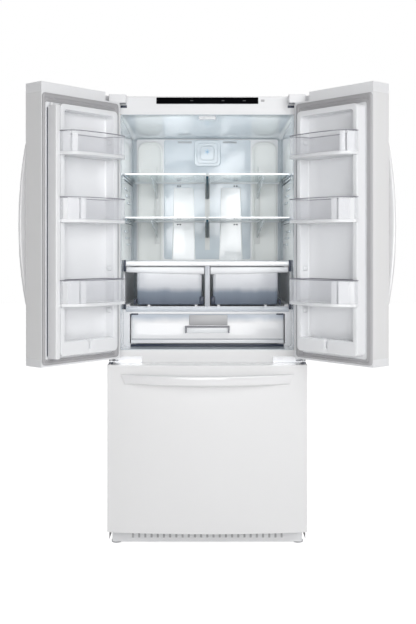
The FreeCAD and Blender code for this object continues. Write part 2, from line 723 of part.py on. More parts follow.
def make_crispers(cover_pane):
    """The crisper and pantry frames, two crispers and the pantry drawer."""
    side, rear = f"({MOUTH} - running_gap)", f"({BACK} - 2)"
    floor = f"({PANTRY_TOP} + glide_height)"
    cover_z = (f"{COVER_TOP} - cover_thickness", COVER_TOP)
    ring = cut("cover_ring", slab("cover_block", "x", both(side), (SHELF_FRONT, rear), cover_z, "4"),
               box("cover_opening", both(f"({MOUTH} - cover_rim)"),
                   (f"{SHELF_FRONT} + trim_depth", f"{rear} - cover_back_rim"),
                   (f"{cover_z[0]} - 1", f"{cover_z[1]} + 1")), cover_pane)
    post = box("middle_post", both("post_half"), (f"{SHELF_FRONT} + 4", f"{rear} - cover_back_rim"),
               (PANTRY_TOP, f"{COVER_GLASS} - glass"))
    wing = box("side_bracket", (f"{MOUTH} - support_width", side), (f"{SHELF_FRONT} + rail_depth + 2", rear),
               (PANTRY_TOP, cover_z[0]))
    wing_space = box("bracket_space", (f"{MOUTH} - support_width - 1", f"{side} - bracket_thickness"),
                     (f"{SHELF_FRONT} + rail_depth + 1", f"{rear} + 1"),
                     (f"{PANTRY_TOP} + glide_height", f"{cover_z[0]} - bracket_head"))
    wing = cut("side_wing", wing, wing_space)
    lid = box("pantry_lid", both(side), (SHELF_FRONT, rear), (f"{PANTRY_TOP} - pantry_plate", PANTRY_TOP))
    lip = box("pantry_lip", both(side), from_to(SHELF_FRONT, "trim_depth"),
              (f"{PANTRY_TOP} - pantry_cover_thickness", PANTRY_TOP))
    leg = box("pantry_leg", (f"{MOUTH} - support_width", side), (SHELF_FRONT, rear),
              (FRIDGE_FLOOR, PANTRY_TOP))
    runner = box("pantry_runner", (f"{MOUTH} - 2 * support_width", side), (SHELF_FRONT, rear),
                 (FRIDGE_FLOOR, f"{FRIDGE_FLOOR} + pantry_base - running_gap"))
    glides = [box("crisper_glide", from_to(start, "glide_width"), (f"{SHELF_FRONT} + 8", f"{rear} - 40"),
                  (PANTRY_TOP, f"{floor} - running_gap")) for start in ("40", f"{CRISPER_OUTER} - 50")]
    node("drawer_frames", fuse("frames_body", ring, post, lid, lip, *pair(wing), *pair(leg), *pair(runner),
                               *pair(glides[0]), *pair(glides[1])))

    bowl = tub("crisper_bowl", ("crisper_inner", CRISPER_OUTER), from_to(SHELF_FRONT, "crisper_depth"),
               (floor, f"{cover_z[0]} - crisper_rim_drop"), "crisper_wall", "crisper_wall", "crisper_radius")
    rail_z = (f"{cover_z[0]} - rail_drop - rail_height", f"{cover_z[0]} - rail_drop")
    rail = slab("crisper_rail", "x", ("crisper_inner - 1", f"{MOUTH} - rail_side_gap"),
                from_to(f"({SHELF_FRONT} - rail_proud)", "rail_depth"), rail_z, "5")
    grip = box("rail_grip", ("crisper_inner + rail_grip_inset", f"{MOUTH} - rail_side_gap - rail_grip_inset"),
               (f"{SHELF_FRONT} + 4", f"{SHELF_FRONT} + rail_depth"),
               (f"{rail_z[0]} - 1", f"{rail_z[0]} + rail_grip_height"))
    space = box("rail_space", ("crisper_inner + crisper_wall", f"{CRISPER_OUTER} - crisper_wall"),
                (f"{SHELF_FRONT} + crisper_wall + 8", f"{SHELF_FRONT} + 60"), (floor, f"{rail_z[1]} + 1"))
    crisper = fuse("crisper", bowl, cut("gripped_rail", rail, grip, space))
    node("right_crisper", crisper)
    node("left_crisper", mirrored(crisper))

    base = f"({FRIDGE_FLOOR} + pantry_base)"
    top = f"({PANTRY_TOP} - pantry_cover_thickness - pantry_clearance)"
    pan = tub("pantry_bowl", both(PANTRY_HALF), from_to(SHELF_FRONT, "pantry_depth"), (base, top),
              "crisper_wall", "crisper_wall", "crisper_radius")
    grip_z = (f"{top} - pantry_handle_drop - pantry_handle_rise", f"{top} - pantry_handle_drop")
    front = f"({SHELF_FRONT} - pantry_handle_proud)"
    handle = slab("pantry_grip", "z", both("pantry_handle_half"), (front, SHELF_FRONT), grip_z, "6")
    hollow = box("grip_hollow", both("(pantry_handle_half - pantry_handle_wall)"),
                 (f"{front} + pantry_handle_wall", f"{SHELF_FRONT} - 2"),
                 (f"{grip_z[0]} - 1", f"{grip_z[1]} - pantry_handle_wall"))
    node("pantry_drawer", fuse("pantry_body", pan, cut("pantry_handle", handle, hollow)))


# ---------------------------------------------------------------- fronts

def front_block(name, x, y_front, z, centre, inset="0"):
    """A block whose face is the shallow curve shared by both doors and the drawer."""
    block = box(f"{name}_block", x, (f"{y_front} - 5", f"{y_front} + edge_thickness + crown - {inset}"), z)
    arc = cylinder(f"{name}_arc", "z", (centre, f"{y_front} + {FRONT_RADIUS}", z[0]),
                   f"{FRONT_RADIUS} - {inset}", f"({z[1]}) - ({z[0]})")
    return common(name, block, arc)


def bow(name, normal, centre_y, centre, radius, length, across):
    """A thin arched bar: the band between two concentric cylinders."""
    start = {"x": (across[0], centre_y, centre), "z": (centre, centre_y, across[0])}[normal]
    outer = cylinder(f"{name}_outer", normal, start, radius, f"({across[1]}) - ({across[0]})")
    inner = cylinder(f"{name}_inner", normal, start, f"{radius} - handle_thickness",
                     f"({across[1]}) - ({across[0]})")
    return cut(name, outer, inner)


def arch_radius(length):
    return f"(({length} ^ 2 / 4 + handle_rise ^ 2) / (2 * handle_rise))"


def door_node(side, label, *items):
    """Finish a sub-part of a door: turn it open about its hinge, and mirror it for the right door."""
    part = group(f"{label}_part", items)
    part.Placement = FreeCAD.Placement(Vector(), Rotation(Vector(0, 0, -1), 90))
    bind(part, "Placement.Rotation.Angle", "open_angle")
    bind_place(part, (f"hinge_inset - {HALF}", "frame_y - gasket_gap - hinge_setback", "0"))
    if side == "right":
        part = mirrored(part, f"{label}_mirror")
    part.Label = label
    nodes.append(part)


def make_door(side):
    """One fridge door, drawn shut with its hinge axis at x = 0, y = 0."""
    hinge_edge, free_edge = "-hinge_inset", f"({DOOR_WIDTH} - hinge_inset)"
    face, inner = "(hinge_setback - edge_thickness - crown)", "hinge_setback"
    mid = f"({HALF} - hinge_inset)"
    shell_z = (f"{DOOR_BOTTOM} + bottom_cap", f"{DOOR_TOP} - top_cap")
    across = (hinge_edge, free_edge)
    inside = (f"{hinge_edge} + steel", f"{free_edge} - steel")
    body = front_block("door_block", across, face, shell_z, mid)
    filling = front_block("door_filling", inside, face, shell_z, mid, "steel")
    back_slot = box("door_back", inside, (f"{inner} - 2 * liner_wall", f"{inner} + 1"), shell_z)
    door_node(side, f"{side}_door_skin", cut("door_skin", body, filling, back_slot))

    bore = "hinge_pin_radius + bore_clearance"
    boss_z = (f"{shell_z[1]} - hinge_pin_depth", shell_z[1])
    boss = cylinder("cap_boss", "z", ("0", "0", boss_z[0]), "boss_radius", "hinge_pin_depth")
    top_cap = front_block("top_cap", across, face, (shell_z[1], DOOR_TOP), mid)
    notch = box("cap_notch", (f"{hinge_edge} - 1", f"{hinge_edge} + notch_length"),
                (f"{face} + crown + notch_lip", f"{inner} + 1"),
                (f"{DOOR_TOP} - notch_depth", f"{DOOR_TOP} + 1"))
    space_x = (f"{hinge_edge} + notch_length + cap_wall", f"{free_edge} - cap_wall")
    top_space = front_block("top_cap_space", space_x, face, (f"{shell_z[1]} - 1", f"{DOOR_TOP} - cap_wall"),
                            mid,
                            "cap_wall")
    bottom_cap = front_block("bottom_cap", across, face, (DOOR_BOTTOM, shell_z[0]), mid)
    bottom_space = front_block("bottom_cap_space", space_x, face,
                               (f"{DOOR_BOTTOM} + cap_wall", f"{shell_z[0]} + 1"), mid, "cap_wall")
    top_bore = cylinder("top_bore", "z", ("0", "0", f"{boss_z[0]} - 1"), bore, "hinge_pin_depth + top_cap")
    bottom_bore = cylinder("bottom_bore", "z", ("0", "0", f"{DOOR_BOTTOM} - 1"), bore,
                           "bottom_cap - cap_wall")
    door_node(side, f"{side}_door_end_caps",
              cut("top_end_cap", fuse("top_cap_body", cut("hollow_cap", top_cap, top_space), boss), notch,
                  top_bore),
              cut("bottom_end_cap", bottom_cap, bottom_space, bottom_bore))

    dike_x = (f"{hinge_edge} + dike_hinge_inset", f"{free_edge} - {side}_dike_inset")
    dike_z = (f"{DOOR_BOTTOM} + dike_bottom", f"{DOOR_TOP} - dike_top")
    crest = f"{inner} + dike_rise"

    def inset_slab(name, inset, y, low=None):
        x = (f"{dike_x[0]} + {inset}", f"{dike_x[1]} - ({inset})")
        z = (low or f"{dike_z[0]} + {inset}", f"{dike_z[1]} - ({inset})")
        return slab(name, "y", x, y, z, f"dike_radius - ({inset}) / 4")

    pocket_top = f"({dike_z[0]} + pocket_height)"
    plate = box("liner_plate", inside, (f"{inner} - liner_wall", inner), shell_z)
    ring = cut("dike_ring", inset_slab("dike_outer", "0", (f"{inner} - liner_wall", crest)),
               inset_slab("dike_well", "dike_width", (inner, f"{crest} + 1"), f"{dike_z[0]} + liner_wall"))
    core = cut("dike_core", inset_slab("core_outer", "liner_wall",
                                       (f"{inner} - liner_wall", f"{crest} - liner_wall")),
               inset_slab("core_well", "(dike_width - liner_wall)",
                          (f"{inner} - 2 * liner_wall", f"{crest} + 1"),
                          f"{dike_z[0]} + liner_wall / 2"))
    pocket = box("pocket_front", (f"{dike_x[0]} + dike_width - 1", f"{dike_x[1]} - dike_width + 1"),
                 (f"{crest} - liner_wall", crest), (f"{dike_z[0]} + liner_wall", pocket_top))
    groove = box("pocket_groove", from_to(f"(({dike_x[0]} + {dike_x[1]}) / 2)", "4"),
                 (f"{crest} - 1", f"{crest} + 1"), (f"{dike_z[0]} + 8", f"{pocket_top} + 1"))
    liner = [plate, ring, cut("pocket_wall", pocket, groove)]
    if side == "left":
        liner += make_knuckles(free_edge)
    liner_body = cut("door_liner", fuse("liner_body", *liner), core)
    door_node(side, f"{side}_door_liner", liner_body)
    door_node(side, f"{side}_door_foam", fuse("door_foam", cut("foam_block", filling, plate, boss), core))

    seal_y = (inner, f"{inner} + gasket_gap - running_gap")
    seal_z = (f"{DOOR_BOTTOM} + gasket_outer - 2", f"{DOOR_TOP} - gasket_inner + 1")
    seal = cut("gasket_ring",
               slab("gasket_outside", "y", (f"{hinge_edge} + gasket_outer", f"{free_edge} - gasket_free"),
                    seal_y,
                    seal_z, "12"),
               slab("gasket_inside", "y", (f"{hinge_edge} + gasket_inner",
                                           f"{free_edge} - gasket_free - gasket_lap"),
                    (f"{inner} - 1", f"{inner} + gasket_gap"),
                    (f"{seal_z[0]} + gasket_lap + 5", f"{seal_z[1]} - gasket_inner + gasket_outer"), "8"))
    door_node(side, f"{side}_door_gasket", seal)

    low = f"({DOOR_BOTTOM} + door_handle_base)"
    grip_x = (f"{free_edge} - door_handle_inset - door_handle_width", f"{free_edge} - door_handle_inset")
    radius = arch_radius("door_handle_length")
    grip = bow("door_bow", "x", f"({face} - handle_rise + {radius})", f"({low} + door_handle_length / 2)",
               radius,
               "door_handle_length", grip_x)
    reach = box("bow_limit", grip_x, (f"{face} - handle_rise - 1", f"{face} + 3"),
                from_to(low, "door_handle_length"))
    door_node(side, f"{side}_door_handle", cut("door_grip", common("bow_part", grip, reach), body))

    for level in ("upper", "middle", "lower"):
        make_bin(side, level, dike_x, inner)


def make_bin(side, level, dike_x, inner):
    """A bin that drops between the dike's sides and widens in front of them."""
    base = f"({DOOR_BOTTOM} + {level}_bin_share * ({DOOR_TOP} - {DOOR_BOTTOM}))"
    top = f"{base} + {level}_bin_height"
    wide = ("(bin_hinge_inset - hinge_inset)", f"({dike_x[1]} + bin_overhang)")
    narrow = (f"({dike_x[0]} + dike_width + bin_side_gap)", f"({dike_x[1]} - dike_width - bin_side_gap)")
    hook, reach = f"({inner} + dike_rise + bin_hook)", f"({inner} + bin_reach)"
    span = f"({wide[1]} - {wide[0]})"
    bow_radius = f"({span} ^ 2 / 4 + bin_bow ^ 2) / (2 * bin_bow)"

    def bowl(name, inset, z):
        x = (f"{wide[0]} + {inset}", f"{wide[1]} - {inset}")
        front = slab(f"{name}_wide", "z", x, (f"{hook} + {inset}", f"{reach} - {inset}"), z,
                     f"bin_corner - {inset}")
        arc = cylinder(f"{name}_arc", "z", (f"({wide[0]} + {wide[1]}) / 2", f"{reach} - ({bow_radius})",
                                            z[0]),
                       f"{bow_radius} - {inset}", f"({z[1]}) - ({z[0]})")
        back = box(f"{name}_back", (f"{narrow[0]} + {inset}", f"{narrow[1]} - {inset}"),
                   (f"{inner} + running_gap + {inset}", f"{hook} + bin_corner + {inset}"), z)
        return fuse(name, common(f"{name}_front", front, arc), back)

    bin_body = cut("bin_body", bowl("bin_outside", "0", (base, top)),
                   bowl("bin_inside", "bin_wall", (f"{base} + bin_floor", f"{top} + 1")))
    door_node(side, f"{side}_{level}_bin", bin_body)


def flap_axis(free_edge):
    return f"({free_edge} - flap_axis_free)", "(hinge_setback + flap_axis_rise)"


def knuckle_starts():
    """Where each of the flap's own knuckles begins; the door's knuckle stands on top of it."""
    low, high = f"({DOOR_BOTTOM} + flap_base)", f"({DOOR_TOP} - flap_top)"
    return [f"({low} + ({high} - {low}) * {share} / 10)" for share in (1, 5, 9)]


def make_knuckles(free_edge):
    """The three bored knuckles on the door that carry the mullion flap."""
    x, y = flap_axis(free_edge)
    knuckles = []
    for start in knuckle_starts():
        low = f"({start} + running_gap)"
        barrel = cylinder("knuckle_barrel", "z", (x, y, low), "knuckle_radius", "knuckle_length")
        foot = box("knuckle_foot", (f"{x} - 3", f"{x} + 3"), (f"{y} - flap_axis_rise - 1", y),
                   from_to(low, "knuckle_length"))
        bore = cylinder("knuckle_bore", "z", (x, y, f"{low} - 1"), "pin_radius + bore_clearance",
                        "knuckle_length + 2")
        knuckles.append(cut("knuckle", fuse("knuckle_body", barrel, foot), bore))
    return knuckles


def make_flap():
    """The mullion flap, folded back along the left door's inner side."""
    free_edge = f"({DOOR_WIDTH} - hinge_inset)"
    x, y = flap_axis(free_edge)
    top = f"({DOOR_TOP} - flap_top)"
    blade = slab("flap_blade", "z", (f"{x} - flap_axis_gap - flap_thickness", f"{x} - flap_axis_gap"),
                 (f"{y} - 4", f"{y} - 4 + flap_width"), (f"{DOOR_BOTTOM} + flap_base", top), "1.5")
    nub = cylinder("flap_nub", "z", (f"{x} - flap_axis_gap - flap_thickness / 2", f"{y} + 9", f"{top} - 1"),
                   "5",
                   "nub_length + 1")
    barrels, notches, pins = [], [], []
    for start in knuckle_starts():
        barrels.append(cylinder("flap_barrel", "z", (x, y, f"({start} - knuckle_length)"), "knuckle_radius",
                                "knuckle_length"))
        pins.append(cylinder("flap_pin", "z", (x, y, f"({start} - 1)"), "pin_radius", "knuckle_length"))
        notches.append(cylinder("flap_notch", "z", (x, y, start), "knuckle_radius + 2",
                                "knuckle_length + 2 * running_gap"))
    node_body = fuse("flap_body", cut("flap_blade_cut", blade, group("flap_notches", notches)), nub,
                     *barrels, *pins)
    door_node("left", "mullion_flap", node_body)


def make_hinges():
    """Top hinges on the fascia with their covers, and middle hinges on the divider beam."""
    axis_x, axis_y = f"({HALF} - hinge_inset)", "-(gasket_gap + hinge_setback)"
    seat = f"({DOOR_TOP} - notch_depth)"
    arm_z = from_to(f"({seat} + 2)", "hinge_plate")
    arm = box("top_arm", ("hinge_leaf_inner", f"{axis_x} + hinge_pin_radius"), (axis_y, "0"), arm_z)
    eye = cylinder("top_eye", "z", (axis_x, axis_y, arm_z[0]), "hinge_pin_radius + 0.5", "hinge_plate")
    leaf = box("top_leaf", ("hinge_leaf_inner", f"{axis_x} + hinge_pin_radius"), ("-hinge_plate", "0"),
               (arm_z[0], f"{DOOR_TOP} - 4"))
    pin = cylinder("top_pin", "z", (axis_x, axis_y, f"({DOOR_TOP} - top_cap - hinge_pin_depth + 2)"),
                   "hinge_pin_radius", "top_cap + hinge_pin_depth - notch_depth + 2")
    top_hinge = fuse("top_hinge", arm, eye, leaf, pin)

    plate_z = from_to(f"({DOOR_BOTTOM} - middle_plate_drop)", "hinge_plate")
    plate = box("middle_arm_plate", (f"{axis_x} - middle_plate_inner", f"{axis_x} + middle_plate_outer"),
                (f"{axis_y} - middle_plate_front", "0"), plate_z)
    leaf = slab("middle_leaf", "y", ("middle_leaf_inner", f"{HALF} - 2"), ("-leaf_thickness", "0"),
                (f"{DOOR_BOTTOM} + 1 - middle_leaf_height", f"{DOOR_BOTTOM} + 1"), "3")
    screws = [cylinder("leaf_screw", "y", (f"middle_leaf_inner + leaf_screw_inset + {i} * leaf_screw_pitch",
                                           "-leaf_thickness - 2", f"{DOOR_BOTTOM} - leaf_screw_inset"),
                       "leaf_screw_radius", "leaf_thickness") for i in range(3)]
    collar = cylinder("middle_collar", "z", (axis_x, axis_y, plate_z[0]), "hinge_pin_radius + collar_wall",
                      "middle_plate_drop - running_gap")
    pin = cylinder("middle_pin", "z", (axis_x, axis_y, plate_z[0]), "hinge_pin_radius",
                   "middle_plate_drop + bottom_cap - cap_wall - 4")
    node("door_hinges", *pair(top_hinge), *pair(fuse("middle_hinge", plate, leaf, collar, pin, *screws)))

    outer = ("cover_inner", f"{HALF} - cover_side_gap")
    cover_z = (f"{seat} + 0.5", DOOR_TOP)
    cover = slab("hinge_cover_outer", "z", outer, ("-cover_reach", "-running_gap"), cover_z, "3")
    space = box("hinge_cover_space", (f"{outer[0]} + cover_wall", f"{outer[1]} - cover_wall"),
                ("-cover_reach + cover_wall", "1"), (f"{cover_z[0]} - 1", f"{cover_z[1]} - cover_wall"))
    node("hinge_covers", *pair(cut("hinge_cover", cover, space)))


# ---------------------------------------------------------------- freezer

def make_freezer_front():
    """The freezer drawer's insulated front with its seal and bowed handle."""
    face, inner = "-(gasket_gap + edge_thickness + crown)", "-gasket_gap"
    z = ("drawer_bottom", DRAWER_TOP)
    inside, inside_z = both(f"({HALF} - steel)"), (f"{z[0]} + steel", f"{z[1]} - steel")
    body = front_block("drawer_block", both(HALF), face, z, "0")
    filling = front_block("drawer_filling", inside, face, inside_z, "0", "steel")
    back_slot = box("drawer_back", inside, (f"{inner} - 2 * liner_wall", f"{inner} + 1"), inside_z)
    node("freezer_front_skin", cut("front_skin", body, filling, back_slot))
    plate = box("front_plate", inside, (f"{inner} - liner_wall", inner), inside_z)
    rise = f"{inner} + panel_rise"
    panel_x, panel_z = both(f"({HALF} - panel_side_inset)"), (f"{FREEZER_FLOOR} + 14", f"{FREEZER_TOP} - 12")
    raised = slab("raised_panel", "y", panel_x, (f"{inner} - liner_wall", rise), panel_z, "16")
    core = slab("panel_core", "y", both(f"({HALF} - panel_side_inset - liner_wall)"),
                (f"{inner} - liner_wall", f"{rise} - liner_wall"),
                (f"{panel_z[0]} + liner_wall", f"{panel_z[1]} - liner_wall"), "14")
    node("freezer_front_liner", cut("front_liner", fuse("front_panel", plate, raised), core))
    node("freezer_front_foam", fuse("front_foam", cut("front_foam_block", filling, plate), core))
    edge, width = "drawer_gasket_inset", "drawer_gasket_width"
    seal_y = (inner, "-running_gap")
    seal = cut("drawer_seal",
               slab("seal_outside", "y", both(f"({HALF} - {edge})"), seal_y,
                    (f"{z[0]} + {edge}", f"{z[1]} - {edge}"),
                    "12"),
               slab("seal_inside", "y", both(f"({HALF} - {edge} - 1.6 * {width})"), (f"{inner} - 1", "1"),
                    (f"{z[0]} + {edge} + {width}", f"{z[1]} - {edge} - {width}"), "8"))
    node("freezer_gasket", cut("drawer_gasket", seal, raised))

    radius = arch_radius("drawer_handle_length")
    high = f"({DRAWER_TOP} - drawer_handle_drop)"
    grip_z = (f"{high} - drawer_handle_height", high)
    grip = bow("drawer_bow", "z", f"({face} - handle_rise + 12 + {radius})", "0", radius,
               "drawer_handle_length",
               grip_z)
    half, slant = "drawer_handle_length / 2", "drawer_handle_cut"
    trapezoid = [(f"-{half} + {slant}", grip_z[0]), (f"{half} - {slant}", grip_z[0]), (half, grip_z[1]),
                 (f"-{half}", grip_z[1])]
    limit = prism("drawer_bow_limit", "y", trapezoid, (f"{face} - handle_rise", f"{face} + crown"))
    node("freezer_handle", cut("drawer_grip", common("drawer_bow_part", grip, limit), body))


def make_freezer_store():
    """The pull-out basket, the tray above it and the telescopic slides."""
    panel = "(panel_rise - gasket_gap)"
    base = f"({FREEZER_FLOOR} + basket_rise)"
    basket = tub("basket", both("basket_half"), from_to(f"{panel} + basket_gap", "basket_depth"),
                 from_to(base, "basket_height"), "basket_wall", "basket_wall", "basket_radius")
    slide_z = from_to(f"({FREEZER_FLOOR} + slide_base)", "slide_height")
    wall, gap, thick = MOUTH, "running_gap", "slide_width"
    fixed_x = (f"{wall} - {thick}", wall)
    mid_x = (f"{wall} - 2 * {thick} - {gap}", f"{wall} - {thick} - {gap}")
    arm_x = (f"{wall} - 3 * {thick} - 2 * {gap}", f"{wall} - 2 * {thick} - 2 * {gap}")
    slide_y = from_to(f"{panel} + slide_gap", "slide_length")
    fixed = slab("fixed_slide", "y", fixed_x, slide_y, slide_z, "2")
    node("freezer_mid_rails", *pair(slab("mid_slide", "y", mid_x, slide_y,
                                         (f"{slide_z[0]} + slide_step", f"{slide_z[1]} - slide_step"),
                                         "2")))
    arm = box("slide_arm", arm_x, (panel, slide_y[1]), (f"{slide_z[0]} + 5", f"{slide_z[1]} - 5"))
    web = box("arm_web", ("basket_half - 1", arm_x[1]), (f"{panel} + 60", f"{slide_y[1]} - 60"),
              from_to(f"({slide_z[0]} + 5)", "5"))
    stay = box("basket_stay", both("basket_half - stay_inset"), (panel, f"{panel} + basket_gap + 1"),
               from_to(f"({base} + stay_rise)", "stay_height"))
    node("freezer_basket", fuse("basket_body", basket, stay, *pair(arm), *pair(web)))

    tray_z = from_to(f"({FREEZER_FLOOR} + tray_base)", "tray_height")
    tray = tub("tray", both("tray_half"), from_to(f"{panel} + tray_gap", "tray_depth"), tray_z, "basket_wall",
               "basket_wall", "basket_radius")
    rim_z = (f"{tray_z[1]} - tray_rim", tray_z[1])
    rim = box("tray_rim", ("tray_half - 1", f"{wall} - tray_rim_gap"),
              (f"{panel} + tray_gap + 20", f"{panel} + tray_gap + tray_depth - 40"), rim_z)
    node("freezer_tray", fuse("tray_body", tray, *pair(rim)))
    ledge = box("tray_ledge", (f"{wall} - ledge_width", wall),
                from_to(f"({panel} + slide_gap)", "tray_depth"),
                (f"{rim_z[0]} - ledge_height", f"{rim_z[0]} - {gap}"))
    node("freezer_fixed_rails", *pair(fixed), *pair(ledge))


def make_evaporator():
    """The evaporator behind its cover, with the fan that blows through the cover."""
    front = "evaporator_cover_y"
    plate_z = ("freezer_step", FREEZER_TOP)
    plate = box("cover_plate", both(MOUTH), from_to(front, "4"), plate_z)
    centre_z = f"({FREEZER_TOP} - evaporator_fan_drop)"
    opening = cylinder("fan_opening", "y", ("0", f"{front} - 1", centre_z),
                       "evaporator_fan_radius + fan_tip_gap", "6")
    returns = [box("return_slot", from_to(f"({i} * 44 - 17)", "34"), (f"{front} - 1", f"{front} + 5"),
                   from_to("(freezer_step + 10)", "8")) for i in range(-6, 7)]
    fan, mount = fan_unit("evaporator_fan", "evaporator_fan_radius", 4)
    centre = ("0", f"{front} + 4", centre_z)
    mount = turned("fan_mount_place", [mount], Vector(0, 0, 1), 0, centre)
    node("evaporator_cover", fuse("cover_body", cut("cover_sheet", plate, opening, group("returns", returns)),
                                  mount))
    node("evaporator_fan", turned("fan_place", [fan], Vector(0, 0, 1), 0, centre))
    height = (f"({centre_z} - evaporator_fan_radius - fan_ring - evaporator_gap"
              " - freezer_step - evaporator_rise)")
    coil = finned_coil("evaporator_coil", "evaporator_width", "evaporator_depth", height, 18, 4)
    low = ("-evaporator_width / 2", f"{front} + 4", "freezer_step + evaporator_rise")
    node("evaporator", turned("coil_place", [coil], Vector(0, 0, 1), 0, low))


def fan_unit(name, radius, blades):
    """A fan on the Y axis with its hub at the origin, and the ring with spokes that holds its shaft."""
    hub = cylinder(f"{name}_hub", "y", ("0", "4", "0"), f"{radius} * 0.3", "18")
    shaft = cylinder(f"{name}_shaft", "y", ("0", "4", "0"), "fan_shaft_radius", "34")
    vanes = []
    for i in range(blades):
        vane = doc.addObject("Part::Box", f"{name}_vane")
        bind(vane, "Length", f"{radius} * 0.74")
        bind(vane, "Width", "2")
        bind(vane, "Height", f"{radius} * 0.55")
        tilt = Rotation(Vector(1, 0, 0), 60)
        vane.Placement = FreeCAD.Placement(Vector(), tilt)
        bind_place(vane, (f"{radius} * 0.25", f"4 + {radius} * 0.24", f"-{radius} * 0.14"))
        vanes.append(turned(f"{name}_blade", [vane], Vector(0, 1, 0), 360 * i / blades))
    sweep = cylinder(f"{name}_sweep", "y", ("0", "-4", "0"), f"{radius} - 0.5", "40")
    fan = common(f"{name}_rotor", fuse(f"{name}_blades", hub, shaft, *vanes), sweep)
    ring = cut(f"{name}_ring", cylinder(f"{name}_rim", "y", ("0", "-1", "0"), f"{radius} + fan_ring", "30"),
               cylinder(f"{name}_mouth", "y", ("0", "-2", "0"), f"{radius} + fan_tip_gap", "40"))
    spokes = [turned(f"{name}_spoke", [box(f"{name}_bar", ("0", f"{radius} + 6"), ("25", "29"), both("4"))],
                     Vector(0, 1, 0), angle) for angle in (90, 210, 330)]
    motor = cylinder(f"{name}_motor", "y", ("0", "25", "0"), f"{radius} * 0.3", "16")
    bore = cylinder(f"{name}_bore", "y", ("0", "20", "0"), "fan_shaft_radius + bore_clearance", "20")
    return fan, cut(f"{name}_mount", fuse(f"{name}_frame", ring, motor, *spokes), bore)


def finned_coil(name, width, depth, height, fins, rows):
    """Tube runs along X threaded through upright fins."""
    plates = [box(f"{name}_fin", from_to(f"({width} * ({i} + 0.5) / {fins})", "1.2"), ("0", depth),
                  ("0", height))
              for i in range(fins)]
    tubes = [cylinder(f"{name}_tube", "x", ("0", f"{depth} * {y}", f"{height} * ({row} + 0.5) / {rows}"),
                      "4.5",
                      width) for row in range(rows) for y in (0.25, 0.75)]
    return fuse(name, *plates, *tubes)


def make_machine_room():
    """The compressor, the condenser with its fan, and the rear cover with the cable gland."""
    floor = "(case_bottom + machine_floor_rise + machine_floor)"
    middle = f"({MACHINE_FRONT} + machine_depth / 2 - 5)"
    radius = "compressor_radius"
    low = cylinder("shell_low", "z", ("compressor_x", middle, f"{floor} + 14"), radius, "84")
    dome = doc.addObject("Part::Ellipsoid", "shell_dome")
    bind(dome, "Radius1", "52")
    bind(dome, "Radius2", radius)
    bind(dome, "Radius3", radius)
    bind_place(dome, ("compressor_x", middle, f"{floor} + 98"))
    foot = slab("shell_foot", "z", (f"compressor_x - {radius} - 22", f"compressor_x + {radius} + 22"),
                (f"{middle} - 46", f"{middle} + 46"), from_to(f"({floor} + 10)", "4"), "12")
    mounts = [cylinder("rubber_mount", "z", (f"compressor_x {dx} ({radius} + 6)", f"{middle} {dy} 32",
                                             floor), "9",
                       "10.5") for dx in "+-" for dy in "+-"]
    terminal = slab("terminal_box", "z", (f"compressor_x + {radius} - 8", f"compressor_x + {radius} + 24"),
                    (f"{middle} - 26", f"{middle} + 26"), from_to(f"({floor} + 44)", "48"), "4")
    pipe = cylinder("pipe_stub", "z", (f"compressor_x - {radius} * 0.6", middle, f"{floor} + 120"), "4", "50")
    node("compressor", fuse("compressor_body", low, dome, foot, terminal, pipe, *mounts))

    coil = finned_coil("condenser_coil", "condenser_width", "90", "150", 16, 5)
    legs = box("coil_foot", ("0", "condenser_width"), ("0", "90"), ("-12", "1"))
    fan, mount = fan_unit("condenser_fan", "condenser_fan_radius", 5)
    side = ("condenser_x + condenser_width / 2 + 20", middle, f"{floor} + 92")
    stand = box("fan_stand", ("-40", "40"), ("8", "20"), ("-92", "-(condenser_fan_radius + 3)"))
    sideways = Vector(0, 0, -1)
    node("condenser", turned("condenser_place", [fuse("condenser_body", coil, legs)], Vector(0, 0, 1), 0,
                             ("condenser_x - condenser_width / 2", f"{middle} - 45", f"{floor} + 12")),
         turned("condenser_mount", [fuse("fan_stand_body", mount, stand)], sideways, 90, side))
    node("condenser_fan", turned("condenser_rotor", [fan], sideways, 90, side))

    rear = "(case_depth - steel)"
    board = box("rear_board", both(f"({HALF} - steel)"), (f"{rear} - steel", "case_depth"),
                ("case_bottom + 6", "machine_top"))
    slots = [box("rear_slot", from_to(f"({x} * 38 - 13)", "26"), (f"{rear} - 3", "case_depth + 1"),
                 from_to(f"(case_bottom + 60 + {row} * 26)", "9")) for x in range(-8, 9) for row in range(7)]
    gland_at = (f"-({HALF} - gland_inset)", "case_depth - gland_length", "case_bottom + gland_rise")
    collar = cylinder("gland_collar", "y", gland_at, "gland_radius", "gland_length")
    gland_bore = cylinder("gland_bore", "y", (gland_at[0], f"{gland_at[1]} - 1", gland_at[2]), "cable_radius",
                          "gland_length + 2")
    node("machine_room_cover", cut("rear_cover", fuse("cover_board", board, collar),
                                   group("rear_slots", slots),
                                   gland_bore))


# ---------------------------------------------------------------- assembly

def check(items):
    """Stop if any object failed, or any sub-part is empty or broken."""
    failed = [item.Name for item in doc.Objects if {"Invalid", "Error"} & set(item.State)]
    if failed:
        raise SystemExit(f"objects that failed: {failed}")
    for item in items:
        if item.Shape.isNull() or not item.Shape.isValid() or not item.Shape.Solids:
            raise SystemExit(f"{item.Label} has no valid solid")


def main():
    make_sheet()
    make_cabinet()
    make_base()
    make_head()
    cover_pane = make_shelves()
    make_back_wall()
    make_crispers(cover_pane)
    for side in ("left", "right"):
        make_door(side)
    make_flap()
    make_hinges()
    make_freezer_front()
    make_freezer_store()
    make_evaporator()
    make_machine_room()
    doc.recompute()
    check(nodes)
    os.makedirs("parts", exist_ok=True)
    for item in nodes:
        item.Shape.exportStep(f"parts/{item.Label}.step")
        print(item.Label, len(item.Shape.Solids), round(item.Shape.Volume))


main()
